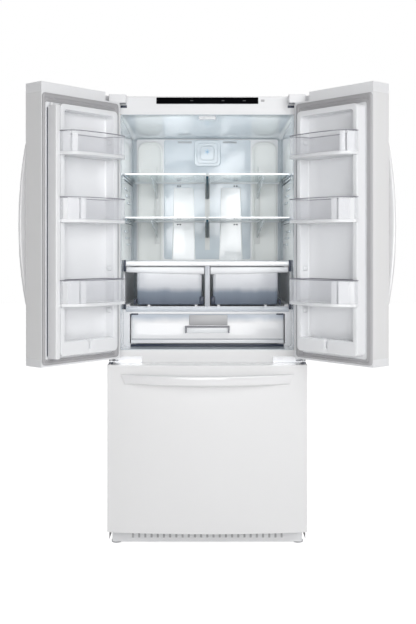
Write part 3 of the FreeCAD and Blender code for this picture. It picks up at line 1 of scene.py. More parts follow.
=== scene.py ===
import json
import math
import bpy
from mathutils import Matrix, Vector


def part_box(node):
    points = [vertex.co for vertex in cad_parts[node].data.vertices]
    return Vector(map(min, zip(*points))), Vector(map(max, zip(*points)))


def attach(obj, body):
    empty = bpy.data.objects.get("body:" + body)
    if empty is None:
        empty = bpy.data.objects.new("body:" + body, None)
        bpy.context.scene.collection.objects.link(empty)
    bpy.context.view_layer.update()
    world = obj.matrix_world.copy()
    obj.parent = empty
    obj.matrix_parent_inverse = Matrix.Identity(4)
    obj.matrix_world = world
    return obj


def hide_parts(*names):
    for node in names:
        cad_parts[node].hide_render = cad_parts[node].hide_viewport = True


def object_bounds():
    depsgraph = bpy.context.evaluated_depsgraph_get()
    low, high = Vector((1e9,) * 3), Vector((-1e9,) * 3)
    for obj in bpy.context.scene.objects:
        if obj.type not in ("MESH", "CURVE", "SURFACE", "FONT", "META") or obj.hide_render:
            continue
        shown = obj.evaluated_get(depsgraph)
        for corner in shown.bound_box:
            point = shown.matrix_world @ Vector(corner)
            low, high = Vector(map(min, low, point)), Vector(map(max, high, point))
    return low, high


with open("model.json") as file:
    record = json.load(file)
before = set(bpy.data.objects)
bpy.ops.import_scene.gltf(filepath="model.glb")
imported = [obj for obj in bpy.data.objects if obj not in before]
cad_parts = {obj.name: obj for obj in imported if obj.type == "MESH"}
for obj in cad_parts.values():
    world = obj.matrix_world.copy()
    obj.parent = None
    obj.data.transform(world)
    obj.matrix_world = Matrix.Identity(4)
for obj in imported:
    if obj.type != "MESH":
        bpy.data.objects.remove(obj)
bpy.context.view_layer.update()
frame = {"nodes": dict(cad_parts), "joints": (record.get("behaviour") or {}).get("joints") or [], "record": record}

from types import SimpleNamespace

import bmesh
import bpy
from mathutils import Matrix, Vector

MM = 0.001
NODES = frame["nodes"]
JOINTS = {joint["name"]: joint for joint in frame["joints"]}
SLOT_OF = {part["node"]: part["material_slot"] for part in frame["record"]["subparts"]}


# ---------------------------------------------------------------- places read from the frame

def door_matrix(side):
    """From a door drawn shut about its hinge axis to its place at rest.

    In the door's own axes x runs to the free edge and y into the cabinet.
    """
    joint = JOINTS["left_door_hinge"]
    x, y, _ = joint["pos_m"]
    turn = math.radians(min(joint["range_deg"]))
    placed = Matrix.Translation((x, y, 0)) @ Matrix.Rotation(turn, 4, "Z")
    return placed if side == "left" else Matrix.Diagonal((-1, 1, 1, 1)) @ placed


def local_box(node, matrix):
    """Lowest and highest corner of a CAD node in the axes of matrix."""
    back = matrix.inverted()
    points = [back @ vertex.co for vertex in NODES[node].data.vertices]
    return (Vector([min(p[i] for p in points) for i in range(3)]),
            Vector([max(p[i] for p in points) for i in range(3)]))


# ---------------------------------------------------------------- materials

def new_material(name):
    material = bpy.data.materials.new(name)
    material.use_nodes = True
    tree = material.node_tree
    return material, tree, tree.nodes["Principled BSDF"]


def noise(tree, scale, detail=3.0, stretch=(1, 1, 1)):
    place = tree.nodes.new("ShaderNodeTexCoord")
    mapping = tree.nodes.new("ShaderNodeMapping")
    mapping.inputs["Scale"].default_value = stretch
    grain = tree.nodes.new("ShaderNodeTexNoise")
    grain.inputs["Scale"].default_value = scale
    grain.inputs["Detail"].default_value = detail
    tree.links.new(place.outputs["Object"], mapping.inputs["Vector"])
    tree.links.new(mapping.outputs["Vector"], grain.inputs["Vector"])
    return grain


def ramp(tree, source, low, high, start=0.3, end=0.7):
    """A colour that runs from low to high as source goes from start to end."""
    blend = tree.nodes.new("ShaderNodeValToRGB")
    blend.color_ramp.elements[0].position = start
    blend.color_ramp.elements[1].position = end
    blend.color_ramp.elements[0].color = (*low, 1)
    blend.color_ramp.elements[1].color = (*high, 1)
    tree.links.new(source, blend.inputs["Fac"])
    return blend.outputs["Color"]


def spread(tree, source, low, high):
    """A value that runs from low to high as source goes from 0 to 1."""
    span = tree.nodes.new("ShaderNodeMapRange")
    span.inputs["To Min"].default_value = low
    span.inputs["To Max"].default_value = high
    tree.links.new(source, span.inputs["Value"])
    return span.outputs["Result"]


def see_through(tree, shader, face_alpha, edge_alpha):
    """Make a surface a film that thickens where it is seen edge on."""
    facing = tree.nodes.new("ShaderNodeLayerWeight")
    facing.inputs["Blend"].default_value = 0.35
    alpha = spread(tree, facing.outputs["Facing"], face_alpha, edge_alpha)
    tree.links.new(alpha, shader.inputs["Alpha"])


def moulded(name, colour, rough, vary=0.03, grain=900, bump=0.05, metallic=0.0, coat=0.0, specular=0.5,
            uneven=0.04):
    """A painted, moulded or metal surface: slow colour drift, uneven gloss and a fine surface grain."""
    material, tree, shader = new_material(name)
    darker = tuple(channel * (1 - vary) for channel in colour)
    drift = noise(tree, 6, 4).outputs["Fac"]
    fine = noise(tree, grain, 2)
    tree.links.new(ramp(tree, drift, darker, colour), shader.inputs["Base Color"])
    gloss = spread(tree, drift, max(rough - uneven, 0.02), rough + uneven)
    tree.links.new(gloss, shader.inputs["Roughness"])
    relief = tree.nodes.new("ShaderNodeBump")
    relief.inputs["Strength"].default_value = bump
    relief.inputs["Distance"].default_value = 0.0004
    tree.links.new(fine.outputs["Fac"], relief.inputs["Height"])
    tree.links.new(relief.outputs["Normal"], shader.inputs["Normal"])
    shader.inputs["Metallic"].default_value = metallic
    shader.inputs["Coat Weight"].default_value = coat
    shader.inputs["Coat Roughness"].default_value = 0.05
    shader.inputs["Specular IOR Level"].default_value = specular
    return material


def clear(name, colour, face_alpha, edge_alpha, rough=0.06):
    """Clear plastic or glass: a tinted film with a faintly uneven gloss."""
    material, tree, shader = new_material(name)
    shader.inputs["Base Color"].default_value = (*colour, 1)
    gloss = spread(tree, noise(tree, 14, 3).outputs["Fac"], rough * 0.6, rough * 1.6)
    tree.links.new(gloss, shader.inputs["Roughness"])
    see_through(tree, shader, face_alpha, edge_alpha)
    return material


def graded(name, shades, heights, alpha, rough=0.1, waver=0.09):
    """Clear plastic whose colour changes with height, over a span of heights in metres; on the crispers the
    colours are painted shade and reflection.
    """
    material, tree, shader = new_material(name)
    place = tree.nodes.new("ShaderNodeTexCoord")
    height = tree.nodes.new("ShaderNodeSeparateXYZ")
    share = tree.nodes.new("ShaderNodeMapRange")
    share.inputs["From Min"].default_value, share.inputs["From Max"].default_value = heights
    blend = tree.nodes.new("ShaderNodeValToRGB")
    while len(blend.color_ramp.elements) < len(shades):
        blend.color_ramp.elements.new(0.5)
    for element, (position, colour) in zip(blend.color_ramp.elements, shades):
        element.position = position
        element.color = (*colour, 1)
    streaks = noise(tree, 5, 2, (3, 1, 0.6))
    total = tree.nodes.new("ShaderNodeMath")
    tree.links.new(place.outputs["Object"], height.inputs["Vector"])
    tree.links.new(height.outputs["Z"], share.inputs["Value"])
    tree.links.new(share.outputs["Result"], total.inputs[0])
    tree.links.new(spread(tree, streaks.outputs["Fac"], -waver, waver), total.inputs[1])
    tree.links.new(total.outputs["Value"], blend.inputs["Fac"])
    tree.links.new(blend.outputs["Color"], shader.inputs["Base Color"])
    shader.inputs["Roughness"].default_value = rough
    see_through(tree, shader, alpha, 0.95)
    return material


# Each shade is its share of the height and its colour; the heights are those of the bowls' graded stretch. The
# crispers' shades are painted shade and reflection, dark at the bottom and pale at the top; the pantry's run grey
# at the bottom, white in the middle and bluish near the top.
CRISPER_PAINTED_SHADES = ((0.0, (0.16, 0.19, 0.25)), (0.36, (0.3, 0.35, 0.42)),
                  (0.52, (0.72, 0.74, 0.78)), (1.0, (0.82, 0.83, 0.86)))
CRISPER_HEIGHTS = (0.926, 1.062)
PANTRY_SHADES = ((0.0, (0.72, 0.74, 0.78)), (0.12, (0.97, 0.97, 0.98)),
                 (0.72, (0.97, 0.97, 0.98)), (0.9, (0.62, 0.67, 0.74)))
PANTRY_HEIGHTS = (0.772, 0.892)

MATERIALS = {
    "white_enamel": moulded("White_Enamel", (0.86, 0.86, 0.865), 0.22, 0.006, 420, 0.10, coat=0.25,
                            uneven=0.008),
    "white_handle": moulded("Handle_White", (0.86, 0.86, 0.87), 0.14, 0.015, 500, 0.05, coat=0.5),
    "galvanised": moulded("Galvanised", (0.6, 0.61, 0.63), 0.42, 0.07, 60, 0.10, metallic=0.7, uneven=0.02),
    "foam": moulded("Foam", (0.78, 0.68, 0.42), 0.85, 0.2, 260, 0.6),
    "white_liner": moulded("Liner", (0.9, 0.91, 0.93), 0.16, 0.02, 320, 0.03, coat=0.4),
    "white_plastic": moulded("White_Plastic", (0.88, 0.885, 0.9), 0.3, 0.02, 800, 0.06),
    "black_glass": moulded("Black_Glass", (0.002, 0.002, 0.003), 0.12, 0.2, 40, 0.0, specular=0.05),
    "clear_plastic": clear("Clear_Plastic", (0.74, 0.8, 0.87), 0.16, 0.7),
    "shelf_glass": clear("Shelf_Glass", (0.74, 0.86, 0.86), 0.1, 0.75, 0.03),
    "gasket": moulded("Gasket_Vinyl", (0.46, 0.455, 0.47), 0.5, 0.06, 500, 0.2),
    "hinge_steel": moulded("Hinge_Steel", (0.66, 0.67, 0.69), 0.3, 0.12, 300, 0.1, metallic=0.8),
    "shelf_steel": moulded("Shelf_Steel", (0.05, 0.07, 0.09), 0.35, 0.1, 700, 0.15),
    "track_steel": moulded("Track_Steel", (0.72, 0.73, 0.72), 0.35, 0.06, 700, 0.1),
    "black_metal": moulded("Black_Metal", (0.015, 0.015, 0.016), 0.4, 0.3, 300, 0.2),
    "aluminium": moulded("Aluminium", (0.75, 0.76, 0.78), 0.3, 0.1, 200, 0.1, metallic=1.0),
    "black_plastic": moulded("Black_Plastic", (0.02, 0.02, 0.022), 0.45, 0.2, 800, 0.2),
    "grey_board": moulded("Grey_Board", (0.22, 0.22, 0.23), 0.8, 0.25, 240, 0.5),
    "freezer_plastic": moulded("Freezer_Plastic", (0.78, 0.82, 0.86), 0.3, 0.03, 500, 0.08),
    "smoke": clear("Smoked_Rim", (0.3, 0.3, 0.34), 0.55, 0.95, 0.1),
    "bin_clear": clear("Bin_Clear", (0.93, 0.94, 0.98), 0.1, 0.42, 0.05),
    "cabinet_liner": moulded("Cabinet_Liner", (0.72, 0.77, 0.81), 0.1, 0.02, 320, 0.02, coat=0.6),
    "cool_panel": moulded("Cool_Panel", (0.66, 0.72, 0.77), 0.14, 0.02, 320, 0.02, coat=0.5),
    "teal_arm": moulded("Teal_Arm", (0.008, 0.05, 0.075), 0.3, 0.2, 300, 0.1, specular=0.15),
    "arm_sleeve": clear("Arm_Sleeve", (0.62, 0.67, 0.7), 0.25, 0.8, 0.1),
    "pane_edge": clear("Pane_Edge", (0.3, 0.36, 0.4), 0.6, 0.95, 0.08),
    "bin_white": moulded("Bin_White", (0.85, 0.86, 0.88), 0.22, 0.015, 700, 0.04),
    # The crisper bowls' colour by height is painted shade and reflection.
    "crisper_clear": graded("Crisper_Painted_Shade_Reflection", CRISPER_PAINTED_SHADES, CRISPER_HEIGHTS, 0.66),
    "pantry_clear": graded("Pantry_Clear", PANTRY_SHADES, PANTRY_HEIGHTS, 0.9),
    "dark_bracket": moulded("Dark_Parts_And_Painted_Shadow", (0.03, 0.04, 0.07), 0.3, 0.1, 500, 0.1),
    "cream_panel": moulded("Cream_Panel", (0.86, 0.87, 0.85), 0.3, 0.02, 500, 0.05),
    "bright_panel": moulded("Bright_Panel", (0.95, 0.96, 0.97), 0.12, 0.01, 300, 0.03, coat=0.6),
    "cover_band": clear("Cover_Band", (0.7, 0.74, 0.8), 0.75, 0.95, 0.08),
    "rail_white": moulded("Rail_White", (0.66, 0.67, 0.69), 0.2, 0.03, 600, 0.04),
    "dim_mark": moulded("Dim_Mark", (0.08, 0.08, 0.085), 0.4, 0.05, 300, 0.0),
    "rib_white": clear("Rib_White_Painted_Highlight", (0.95, 0.96, 0.98), 0.62, 0.9, 0.05),
    "grey_strip": moulded("Grey_Strip", (0.5, 0.5, 0.51), 0.35, 0.05, 500, 0.05),
    "grey_rail": moulded("Grey_Rail", (0.5, 0.52, 0.56), 0.25, 0.05, 600, 0.05),
    "pale_mark": moulded("Pale_Mark", (0.35, 0.6, 0.82), 0.4, 0.05, 300, 0.05),
    "grey_mark": moulded("Grey_Mark", (0.35, 0.36, 0.38), 0.4, 0.05, 300, 0.05),
}


# ---------------------------------------------------------------- CAD nodes that stay

def finish_cad(node, width, segments=2):
    """Give a CAD node its slot's material and softened edges."""
    item = NODES[node]
    item.data.materials.clear()
    item.data.materials.append(MATERIALS[SLOT_OF[node]])
    if width:
        edge = item.modifiers.new("Softened_Edges", "BEVEL")
        edge.width = width * MM
        edge.segments = segments
        edge.limit_method = "ANGLE"
        edge.angle_limit = math.radians(40)
        edge.harden_normals = True
        edge.miter_outer = "MITER_ARC"


EDGE_ROUNDING = {"left_door_skin": 2.5, "right_door_skin": 2.5, "freezer_front_skin": 2.5, "outer_case": 1.5,
                 "hinge_covers": 2.5, "top_fascia": 0.4, "mullion_guide": 1.5}
DEFAULT_ROUNDING = 0.5
for name in NODES:
    finish_cad(name, EDGE_ROUNDING.get(name, DEFAULT_ROUNDING))

# ---------------------------------------------------------------- mesh building

def rounded(across, up, radius, steps=6):
    """A rectangle with rounded corners, anticlockwise from the lower right, as 2D points."""
    corners = ((across[1] - radius, up[0] + radius, -90), (across[1] - radius, up[1] - radius, 0),
               (across[0] + radius, up[1] - radius, 90), (across[0] + radius, up[0] + radius, 180))
    points = []
    for x, y, start in corners:
        for step in range(steps + 1):
            angle = math.radians(start + 90 * step / steps)
            points.append((x + radius * math.cos(angle), y + radius * math.sin(angle)))
    return points


def shrunk(span, inset):
    return span[0] + inset, span[1] - inset


def loft(mesh, loops, first_cap=True, last_cap=True, ring=False):
    """Skin closed loops of equally many points; ring joins the last loop back to the first."""
    rows = [[mesh.verts.new(point) for point in loop] for loop in loops]
    bands = zip(rows, rows[1:] + rows[:1]) if ring else zip(rows, rows[1:])
    for low, high in bands:
        for i, corner in enumerate(low):
            after = (i + 1) % len(low)
            mesh.faces.new((corner, low[after], high[after], high[i]))
    if first_cap and not ring:
        mesh.faces.new(rows[0][::-1])
    if last_cap and not ring:
        mesh.faces.new(rows[-1])


def block(mesh, x, y, z, edge=1.5, steps=2):
    """A small block in millimetres with all its edges rounded."""
    ends = [(0, edge), (edge * 0.3, edge * 0.3), (edge, 0)]
    heights = [(z[0] + rise, inset) for rise, inset in ends]
    heights += [(z[1] - rise, inset) for rise, inset in ends[::-1]]
    loft(mesh, [[(px, py, height) for px, py in rounded(shrunk(x, inset), shrunk(y, inset), edge, steps)]
                for height, inset in heights])


def piece(mesh, name, body, material, matrix=None, replaces=(), smooth=35):
    """Turn a mesh drawn in millimetres into a named piece that rides on a body."""
    scale = Matrix.Scale(MM, 4)
    bmesh.ops.recalc_face_normals(mesh, faces=mesh.faces)
    bmesh.ops.transform(mesh, matrix=(matrix or Matrix()) @ scale, verts=mesh.verts)
    if matrix and matrix.determinant() < 0:
        bmesh.ops.reverse_faces(mesh, faces=mesh.faces)
    data = bpy.data.meshes.new(name)
    mesh.to_mesh(data)
    mesh.free()
    for face in data.polygons:
        face.use_smooth = True
    data.set_sharp_from_angle(angle=math.radians(smooth))
    data.materials.append(MATERIALS[material])
    item = bpy.data.objects.new(name, data)
    bpy.context.scene.collection.objects.link(item)
    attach(item, body)
    if replaces:
        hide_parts(*replaces)
    return item


def in_mm(corners, axis):
    return corners[0][axis] / MM, corners[1][axis] / MM

def mirrored(side, near, far):
    """A stretch of x between two distances from the middle, on the right (1) or the left (-1)."""
    return tuple(sorted((side * near, side * far)))


def raised(mesh, across, up, radius, base, profile):
    """A panel that stands out from the plane y = base: each step of its profile is an inset and a depth."""
    loft(mesh, [[(px, base + y, pz) for px, pz in
                 rounded(shrunk(across, inset), shrunk(up, inset), radius - inset)] for inset, y in profile])


def bar(mesh, across, y, z, radius, steps):
    """A bar along x whose section is a rounded rectangle."""
    section = rounded(y, z, radius, steps)
    loft(mesh, [[(place, py, pz) for py, pz in section] for place in across])


def basin(across, depth, inset, z):
    """A bowl's outline at one height, in from its outermost outline."""
    return [(px, py, z) for px, py in rounded(shrunk(across, inset), shrunk(depth, inset), 14 - inset * 0.5)]


def arch_drop(half, rise, place):
    """How far an arc has fallen from its crown at place, which runs from -1 to 1 along its chord."""
    radius = (half ** 2 + rise ** 2) / (2 * rise)
    return radius - math.sqrt(radius ** 2 - (half * place) ** 2)


# ---------------------------------------------------------------- doors

DIKE_INSET = {"left": (52, 48), "right": (52, 35)}    # hinge side, free side
DIKE_LOW, DIKE_HIGH = 38, 76                          # from the door's bottom and top
DIKE_WIDTH, DIKE_RISE, DIKE_RADIUS = 20, 45, 16
POCKET_HEIGHT = 52
POCKET_GAP = 3.5                                      # half the gap between a door's two pockets
LINER_WALL = 2
HOOK_SHARES = (0.16, 0.335, 0.62, 0.86)               # of the height inside the dike
HOOK_SIZE = (5, 22, 16)
SEAL_MARGIN = 12                                      # from the dike to the seal
FREE_SEAL_WIDTH = {"left": 13, "right": 25}
BIN_BASE, BIN_WALL, BIN_RIM = 11, 2.5, 3.2
BIN_BOW, BIN_CORNER = 18, 26
BIN_TURN = {"upper": 30, "middle": 64, "lower": 64}   # from a bin's free end to its front corner
BIN_HIGHLIGHT_RIBS = ((6, 9), (3, 5))                           # stretches of a bin's outline that carry a white rib: the front corner's rib is a painted highlight, the free end's a white post
GRIP_RISE, GRIP_THICKNESS = 60, 15
FLAP_BLADE, FLAP_NOSE = 20, 11                        # the blade's width, and the nose's height above it
PIN_PLACE, PIN_RADIUS, PIN_SIDES = (10, 12), 5, 15


def door_sizes(side):
    """A door's axes and where its flange, its inner face and its dike lie in them."""
    matrix = door_matrix(side)
    caps = local_box(f"{side}_door_end_caps", matrix)
    skin = local_box(f"{side}_door_skin", matrix)
    x, z = in_mm(caps, 0), in_mm(caps, 2)
    hinge_inset, free_inset = DIKE_INSET[side]
    return SimpleNamespace(matrix=matrix, x=x, shell_z=in_mm(skin, 2), inner=in_mm(skin, 1)[1],
                           dike_x=(x[0] + hinge_inset, x[1] - free_inset),
                           dike_z=(z[0] + DIKE_LOW, z[1] - DIKE_HIGH))


def make_door_liner(side):
    """The vacuum-formed liner: a flat flange, a rounded dike and the well inside it."""
    door = door_sizes(side)

    def level(across, up, radius, y):
        return [(px, y, pz) for px, pz in rounded(across, up, radius)]

    flange = [(1, 0, -LINER_WALL), (1, 0, -0.4), (1.6, 0.6, 0)]
    shoulder = [(0, 41), (0.4, 43.2), (1.4, 44.6), (3, DIKE_RISE)]
    profile = [(-2.5, 0), (-0.6, 0.6), (0, 2.5), *shoulder]
    profile += [(DIKE_WIDTH - inset, rise) for inset, rise in shoulder[::-1]]
    profile += [(DIKE_WIDTH, 8), (21, 4), (24, 1.4), (29, 0.4), (36, 0.3)]
    loops = [level(shrunk(door.x, side_inset), shrunk(door.shell_z, end_inset), 2, door.inner + rise)
             for side_inset, end_inset, rise in flange]
    loops += [level(shrunk(door.dike_x, inset), shrunk(door.dike_z, inset), DIKE_RADIUS - inset / 4,
                    door.inner + rise) for inset, rise in profile]
    mesh = bmesh.new()
    loft(mesh, loops)
    piece(mesh, f"{side}_door_liner_shell", f"{side}_door", "white_liner", door.matrix,
          [f"{side}_door_liner"])


def make_door_pocket(side):
    """Two shallow pockets on the crest of the dike's lower run and the stub between them."""
    door = door_sizes(side)
    inside = shrunk(door.dike_x, 1.2)
    middle = sum(inside) / 2
    bottom, top = door.dike_z[0] + 1.2, door.dike_z[0] + POCKET_HEIGHT
    crest = door.inner + DIKE_RISE + 1.4
    front = [(0, -26), (0, -5), (1.5, -1.6), (4.5, -0.2), (8, 0)]
    mesh = bmesh.new()
    for half in ((inside[0], middle - POCKET_GAP), (middle + POCKET_GAP, inside[1])):
        loft(mesh, [[(px, crest + y, pz) for px, pz in
                     rounded(shrunk(half, inset), (bottom + inset, top - inset), 13 - inset / 3)]
                    for inset, y in front])
    block(mesh, (middle - 6, middle + 6), (crest - 24, crest - 12), (bottom, top - 1), 2)
    piece(mesh, f"{side}_door_pocket", f"{side}_door", "white_liner", door.matrix)


def make_bin_hooks(side):
    """The small lugs inside the dike that the bins hang on."""
    door = door_sizes(side)
    out, deep, tall = HOOK_SIZE
    mesh = bmesh.new()
    for share in HOOK_SHARES:
        height = door.dike_z[0] + (door.dike_z[1] - door.dike_z[0]) * share
        for edge, direction in ((door.dike_x[0] + DIKE_WIDTH + 1, 1), (door.dike_x[1] - DIKE_WIDTH - 1, -1)):
            block(mesh, tuple(sorted((edge, edge + out * direction))),
                  (door.inner + 12, door.inner + 12 + deep), (height, height + tall), 2)
    piece(mesh, f"{side}_bin_hooks", f"{side}_door", "white_liner", door.matrix)


def make_gasket(name, body, outer, inner_edge, y, replaces, matrix=None, radii=(12, 8)):
    """A vinyl door seal: a magnet bulb along the outside and a soft bellows inside it."""
    section = [(0, 0.1), (0, 0.55), (0.06, 0.82), (0.2, 1), (0.42, 1), (0.5, 0.72), (0.56, 0.6), (0.64, 0.82),
               (0.72, 0.9), (0.8, 0.72), (0.88, 0.62), (0.95, 0.5), (1, 0.35), (1, 0.1)]
    mesh = bmesh.new()
    loops = []
    for share, rise in section:
        across = tuple(a + (b - a) * share for a, b in zip(outer[0], inner_edge[0]))
        up = tuple(a + (b - a) * share for a, b in zip(outer[1], inner_edge[1]))
        radius = radii[0] + (radii[1] - radii[0]) * share
        loops.append([(px, y[0] + (y[1] - y[0]) * rise, pz) for px, pz in rounded(across, up, radius)])
    loft(mesh, loops, ring=True)
    return piece(mesh, name, body, "gasket", matrix, replaces)


def make_door_gasket(side):
    door = door_sizes(side)
    seal = local_box(f"{side}_door_gasket", door.matrix)
    outer = in_mm(seal, 0), in_mm(seal, 2)
    inner_edge = ((door.dike_x[0] - SEAL_MARGIN, outer[0][1] - FREE_SEAL_WIDTH[side]),
                  (door.dike_z[0] - SEAL_MARGIN, door.dike_z[1] + 7))
    make_gasket(f"{side}_door_seal", f"{side}_door", outer, inner_edge, in_mm(seal, 1),
                [f"{side}_door_gasket"], door.matrix)


def bin_outline(wide, narrow, back, hook, reach, inset, turn, steps=6):
    """Plan of a door bin: a narrow back, a bowed front and a free end that slants back."""
    middle, half = sum(wide) / 2, (wide[1] - wide[0]) / 2
    narrow, back, hook = shrunk(narrow, inset), back + inset, hook + inset

    def front(x):
        return reach - BIN_BOW * ((x - middle) / half) ** 2 - inset

    end = Vector((wide[1] - inset, hook + 14))
    corner = Vector((wide[1] - turn - inset * 0.5, front(wide[1] - turn)))
    slant = (end - corner).normalized()
    start, stop = corner + slant * 20, Vector((corner.x - 20, front(corner.x - 20)))
    points = [(narrow[0], back), (narrow[1], back), (narrow[1], hook), (end.x, hook), tuple(end)]
    for step in range(steps + 1):
        share = step / steps
        points.append(tuple(start * (1 - share) ** 2 + corner * 2 * share * (1 - share) + stop * share ** 2))
    low_x = wide[0] + BIN_CORNER
    for step in range(1, 14):
        x = stop.x + (low_x - stop.x) * step / 14
        points.append((x, front(x)))
    centre = low_x, front(low_x) - (BIN_CORNER - inset)
    for step in range(steps + 1):
        angle = math.radians(90 + 90 * step / steps)
        points.append((centre[0] + (BIN_CORNER - inset) * math.cos(angle),
                       centre[1] + (BIN_CORNER - inset) * math.sin(angle)))
    return points + [(wide[0] + inset, hook), (narrow[0], hook)]


def make_bin(side, level):
    """A door bin: white base, clear bowed walls with two white ribs inside them, the one at the front corner a
    painted highlight, and a thin smoked rim.
    """
    door = door_sizes(side)
    node = f"{side}_{level}_bin"
    box = local_box(node, door.matrix)
    wide, depth, (low, top) = (in_mm(box, axis) for axis in range(3))
    narrow = shrunk(door.dike_x, DIKE_WIDTH + 4)
    hook = door.inner + DIKE_RISE + 1.5
    shelf, shoulder = low + BIN_BASE, top - BIN_RIM

    def ring(inset, z):
        plan = bin_outline(wide, narrow, depth[0], hook, depth[1], inset, BIN_TURN[level])
        return [(px, py, z) for px, py in plan]

    mesh = bmesh.new()
    loft(mesh, [ring(2, low), ring(0.6, low + 0.6), ring(0, low + 2.5), ring(0, shelf - 1.5),
                ring(0.8, shelf), ring(BIN_WALL + 1.5, shelf), ring(BIN_WALL + 2, low + 5),
                ring(BIN_WALL + 4, low + 4)])
    piece(mesh, f"{node}_base", f"{side}_door", "bin_white", door.matrix)
    mesh = bmesh.new()
    loft(mesh, [ring(0.8, shelf - 0.5), ring(0.8, shoulder), ring(0.8 + BIN_WALL, shoulder),
                ring(0.8 + BIN_WALL, shelf - 0.5)], ring=True)
    piece(mesh, f"{node}_walls", f"{side}_door", "bin_clear", door.matrix, [node])
    mesh = bmesh.new()
    # The rib at the front corner is a painted highlight: its white stands for the bright streak on the bin's
    # curved corner.
    for first, last in BIN_HIGHLIGHT_RIBS:
        strip = ring(BIN_WALL + 0.9, 0)[first:last + 1] + ring(BIN_WALL + 2.6, 0)[first:last + 1][::-1]
        loft(mesh, [[(px, py, z) for px, py, _ in strip] for z in (shelf, shoulder - 2)])
    piece(mesh, f"{node}_ribs", f"{side}_door", "rib_white", door.matrix)
    mesh = bmesh.new()
    loft(mesh, [ring(0.5, shoulder), ring(0, shoulder + 0.6), ring(0.3, top - 0.3), ring(1, top),
                ring(BIN_WALL + 0.6, top), ring(BIN_WALL + 1.1, top - 0.6), ring(BIN_WALL + 0.9, shoulder)],
         ring=True)
    piece(mesh, f"{node}_rim", f"{side}_door", "smoke", door.matrix)


def make_door_handle(side):
    """A tall arched blade whose ends run into the door's face."""
    matrix = door_matrix(side)
    node = f"{side}_door_handle"
    box = local_box(node, matrix)
    across, depth, up = (in_mm(box, axis) for axis in range(3))
    half, steps = (up[1] - up[0]) / 2, 48
    loops = []
    for step in range(steps + 1):
        place = -math.cos(math.pi * step / steps)
        front = depth[0] + arch_drop(half, GRIP_RISE, place)
        back = min(front + GRIP_THICKNESS, depth[0] + GRIP_RISE + 2)
        radius = max(min(6.5, (back - front) * 0.45), 0.5)
        loops.append([(px, py, sum(up) / 2 + half * place) for px, py in
                      rounded(shrunk(across, 4 * place ** 4), (front, max(back, front + 1.2)), radius, 4)])
    mesh = bmesh.new()
    loft(mesh, loops)
    piece(mesh, f"{side}_door_grip", f"{side}_door", "white_handle", matrix, [node])


def make_flap():
    """The mullion flap: a rounded blade with a nose on top, a strip in front and a dark strip along its edge that
    is a painted shadow of the gap beside it.
    """
    matrix = door_matrix("left")
    box = local_box("mullion_flap", matrix)
    across, depth, up = (in_mm(box, axis) for axis in range(3))
    blade_x = across[0], across[0] + FLAP_BLADE
    blade_y = depth[0] + 1, depth[1]
    top = up[1] - FLAP_NOSE
    centre = blade_x[0] + PIN_PLACE[0], blade_y[0] + PIN_PLACE[1]

    def nose(radius, z):
        turns = [math.radians(360 * step / PIN_SIDES) for step in range(PIN_SIDES)]
        return [(centre[0] + radius * math.cos(turn), centre[1] + radius * math.sin(turn), z)
                for turn in turns]

    mesh = bmesh.new()
    block(mesh, blade_x, blade_y, (up[0], top), 3, 4)
    loft(mesh, [nose(PIN_RADIUS, top - 2), nose(PIN_RADIUS, up[1] - 1), nose(PIN_RADIUS * 0.7, up[1])])
    piece(mesh, "mullion_flap_blade", "mullion_flap", "white_plastic", matrix,
          ["mullion_flap"])
    mesh = bmesh.new()
    block(mesh, (blade_x[0], blade_x[0] + 2), (blade_y[0] + 5, blade_y[1] - 14), (up[0] + 4, top - 4), 0.8)
    piece(mesh, "mullion_flap_strip", "mullion_flap", "grey_strip", matrix)
    mesh = bmesh.new()
    # A dark strip along the blade's edge: painted shadow standing in for the gap beside the flap.
    block(mesh, (blade_x[1] - 1, blade_x[1] + 1.6), (blade_y[0] - 0.5, blade_y[0] + 3),
          (up[0] + 8, top - 6), 0.8)
    piece(mesh, "mullion_flap_gap_shadow", "mullion_flap", "dark_bracket", matrix)


for side in ("left", "right"):
    make_door_liner(side)
    make_door_pocket(side)
    make_bin_hooks(side)
    make_door_gasket(side)
    make_door_handle(side)
    for level in ("upper", "middle", "lower"):
        make_bin(side, level)
make_flap()


# ---------------------------------------------------------------- freezer drawer

DRAWER_GRIP_SLANT = 15
DRAWER_SEAL_WIDTHS = (32, 20)      # of the upright and the level runs


def make_drawer_handle():
    """A wide bar bowed towards the room, its ends cut on the slant."""
    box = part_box("freezer_handle")
    across, depth, up = (in_mm(box, axis) for axis in range(3))
    half, steps = across[1], 60
    loops = []
    for step in range(steps + 1):
        place = -math.cos(math.pi * step / steps)
        front = depth[0] + arch_drop(half, GRIP_RISE, place)
        back = min(front + GRIP_THICKNESS, depth[1])
        radius = max(min(7, (back - front) * 0.45), 0.5)
        loops.append([(place * (half - DRAWER_GRIP_SLANT * (up[1] - pz) / (up[1] - up[0])), py, pz)
                      for py, pz in rounded((front, max(back, front + 1.2)), up, radius, 4)])
    mesh = bmesh.new()
    loft(mesh, loops)
    piece(mesh, "freezer_drawer_grip", "freezer_drawer", "white_handle", None,
          ["freezer_handle"])


def make_drawer_gasket():
    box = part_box("freezer_gasket")
    outer = in_mm(box, 0), in_mm(box, 2)
    inner_edge = tuple(shrunk(span, width) for span, width in zip(outer, DRAWER_SEAL_WIDTHS))
    make_gasket("freezer_drawer_seal", "freezer_drawer", outer, inner_edge, in_mm(box, 1), ["freezer_gasket"])


make_drawer_handle()
make_drawer_gasket()


# ---------------------------------------------------------------- fridge compartment

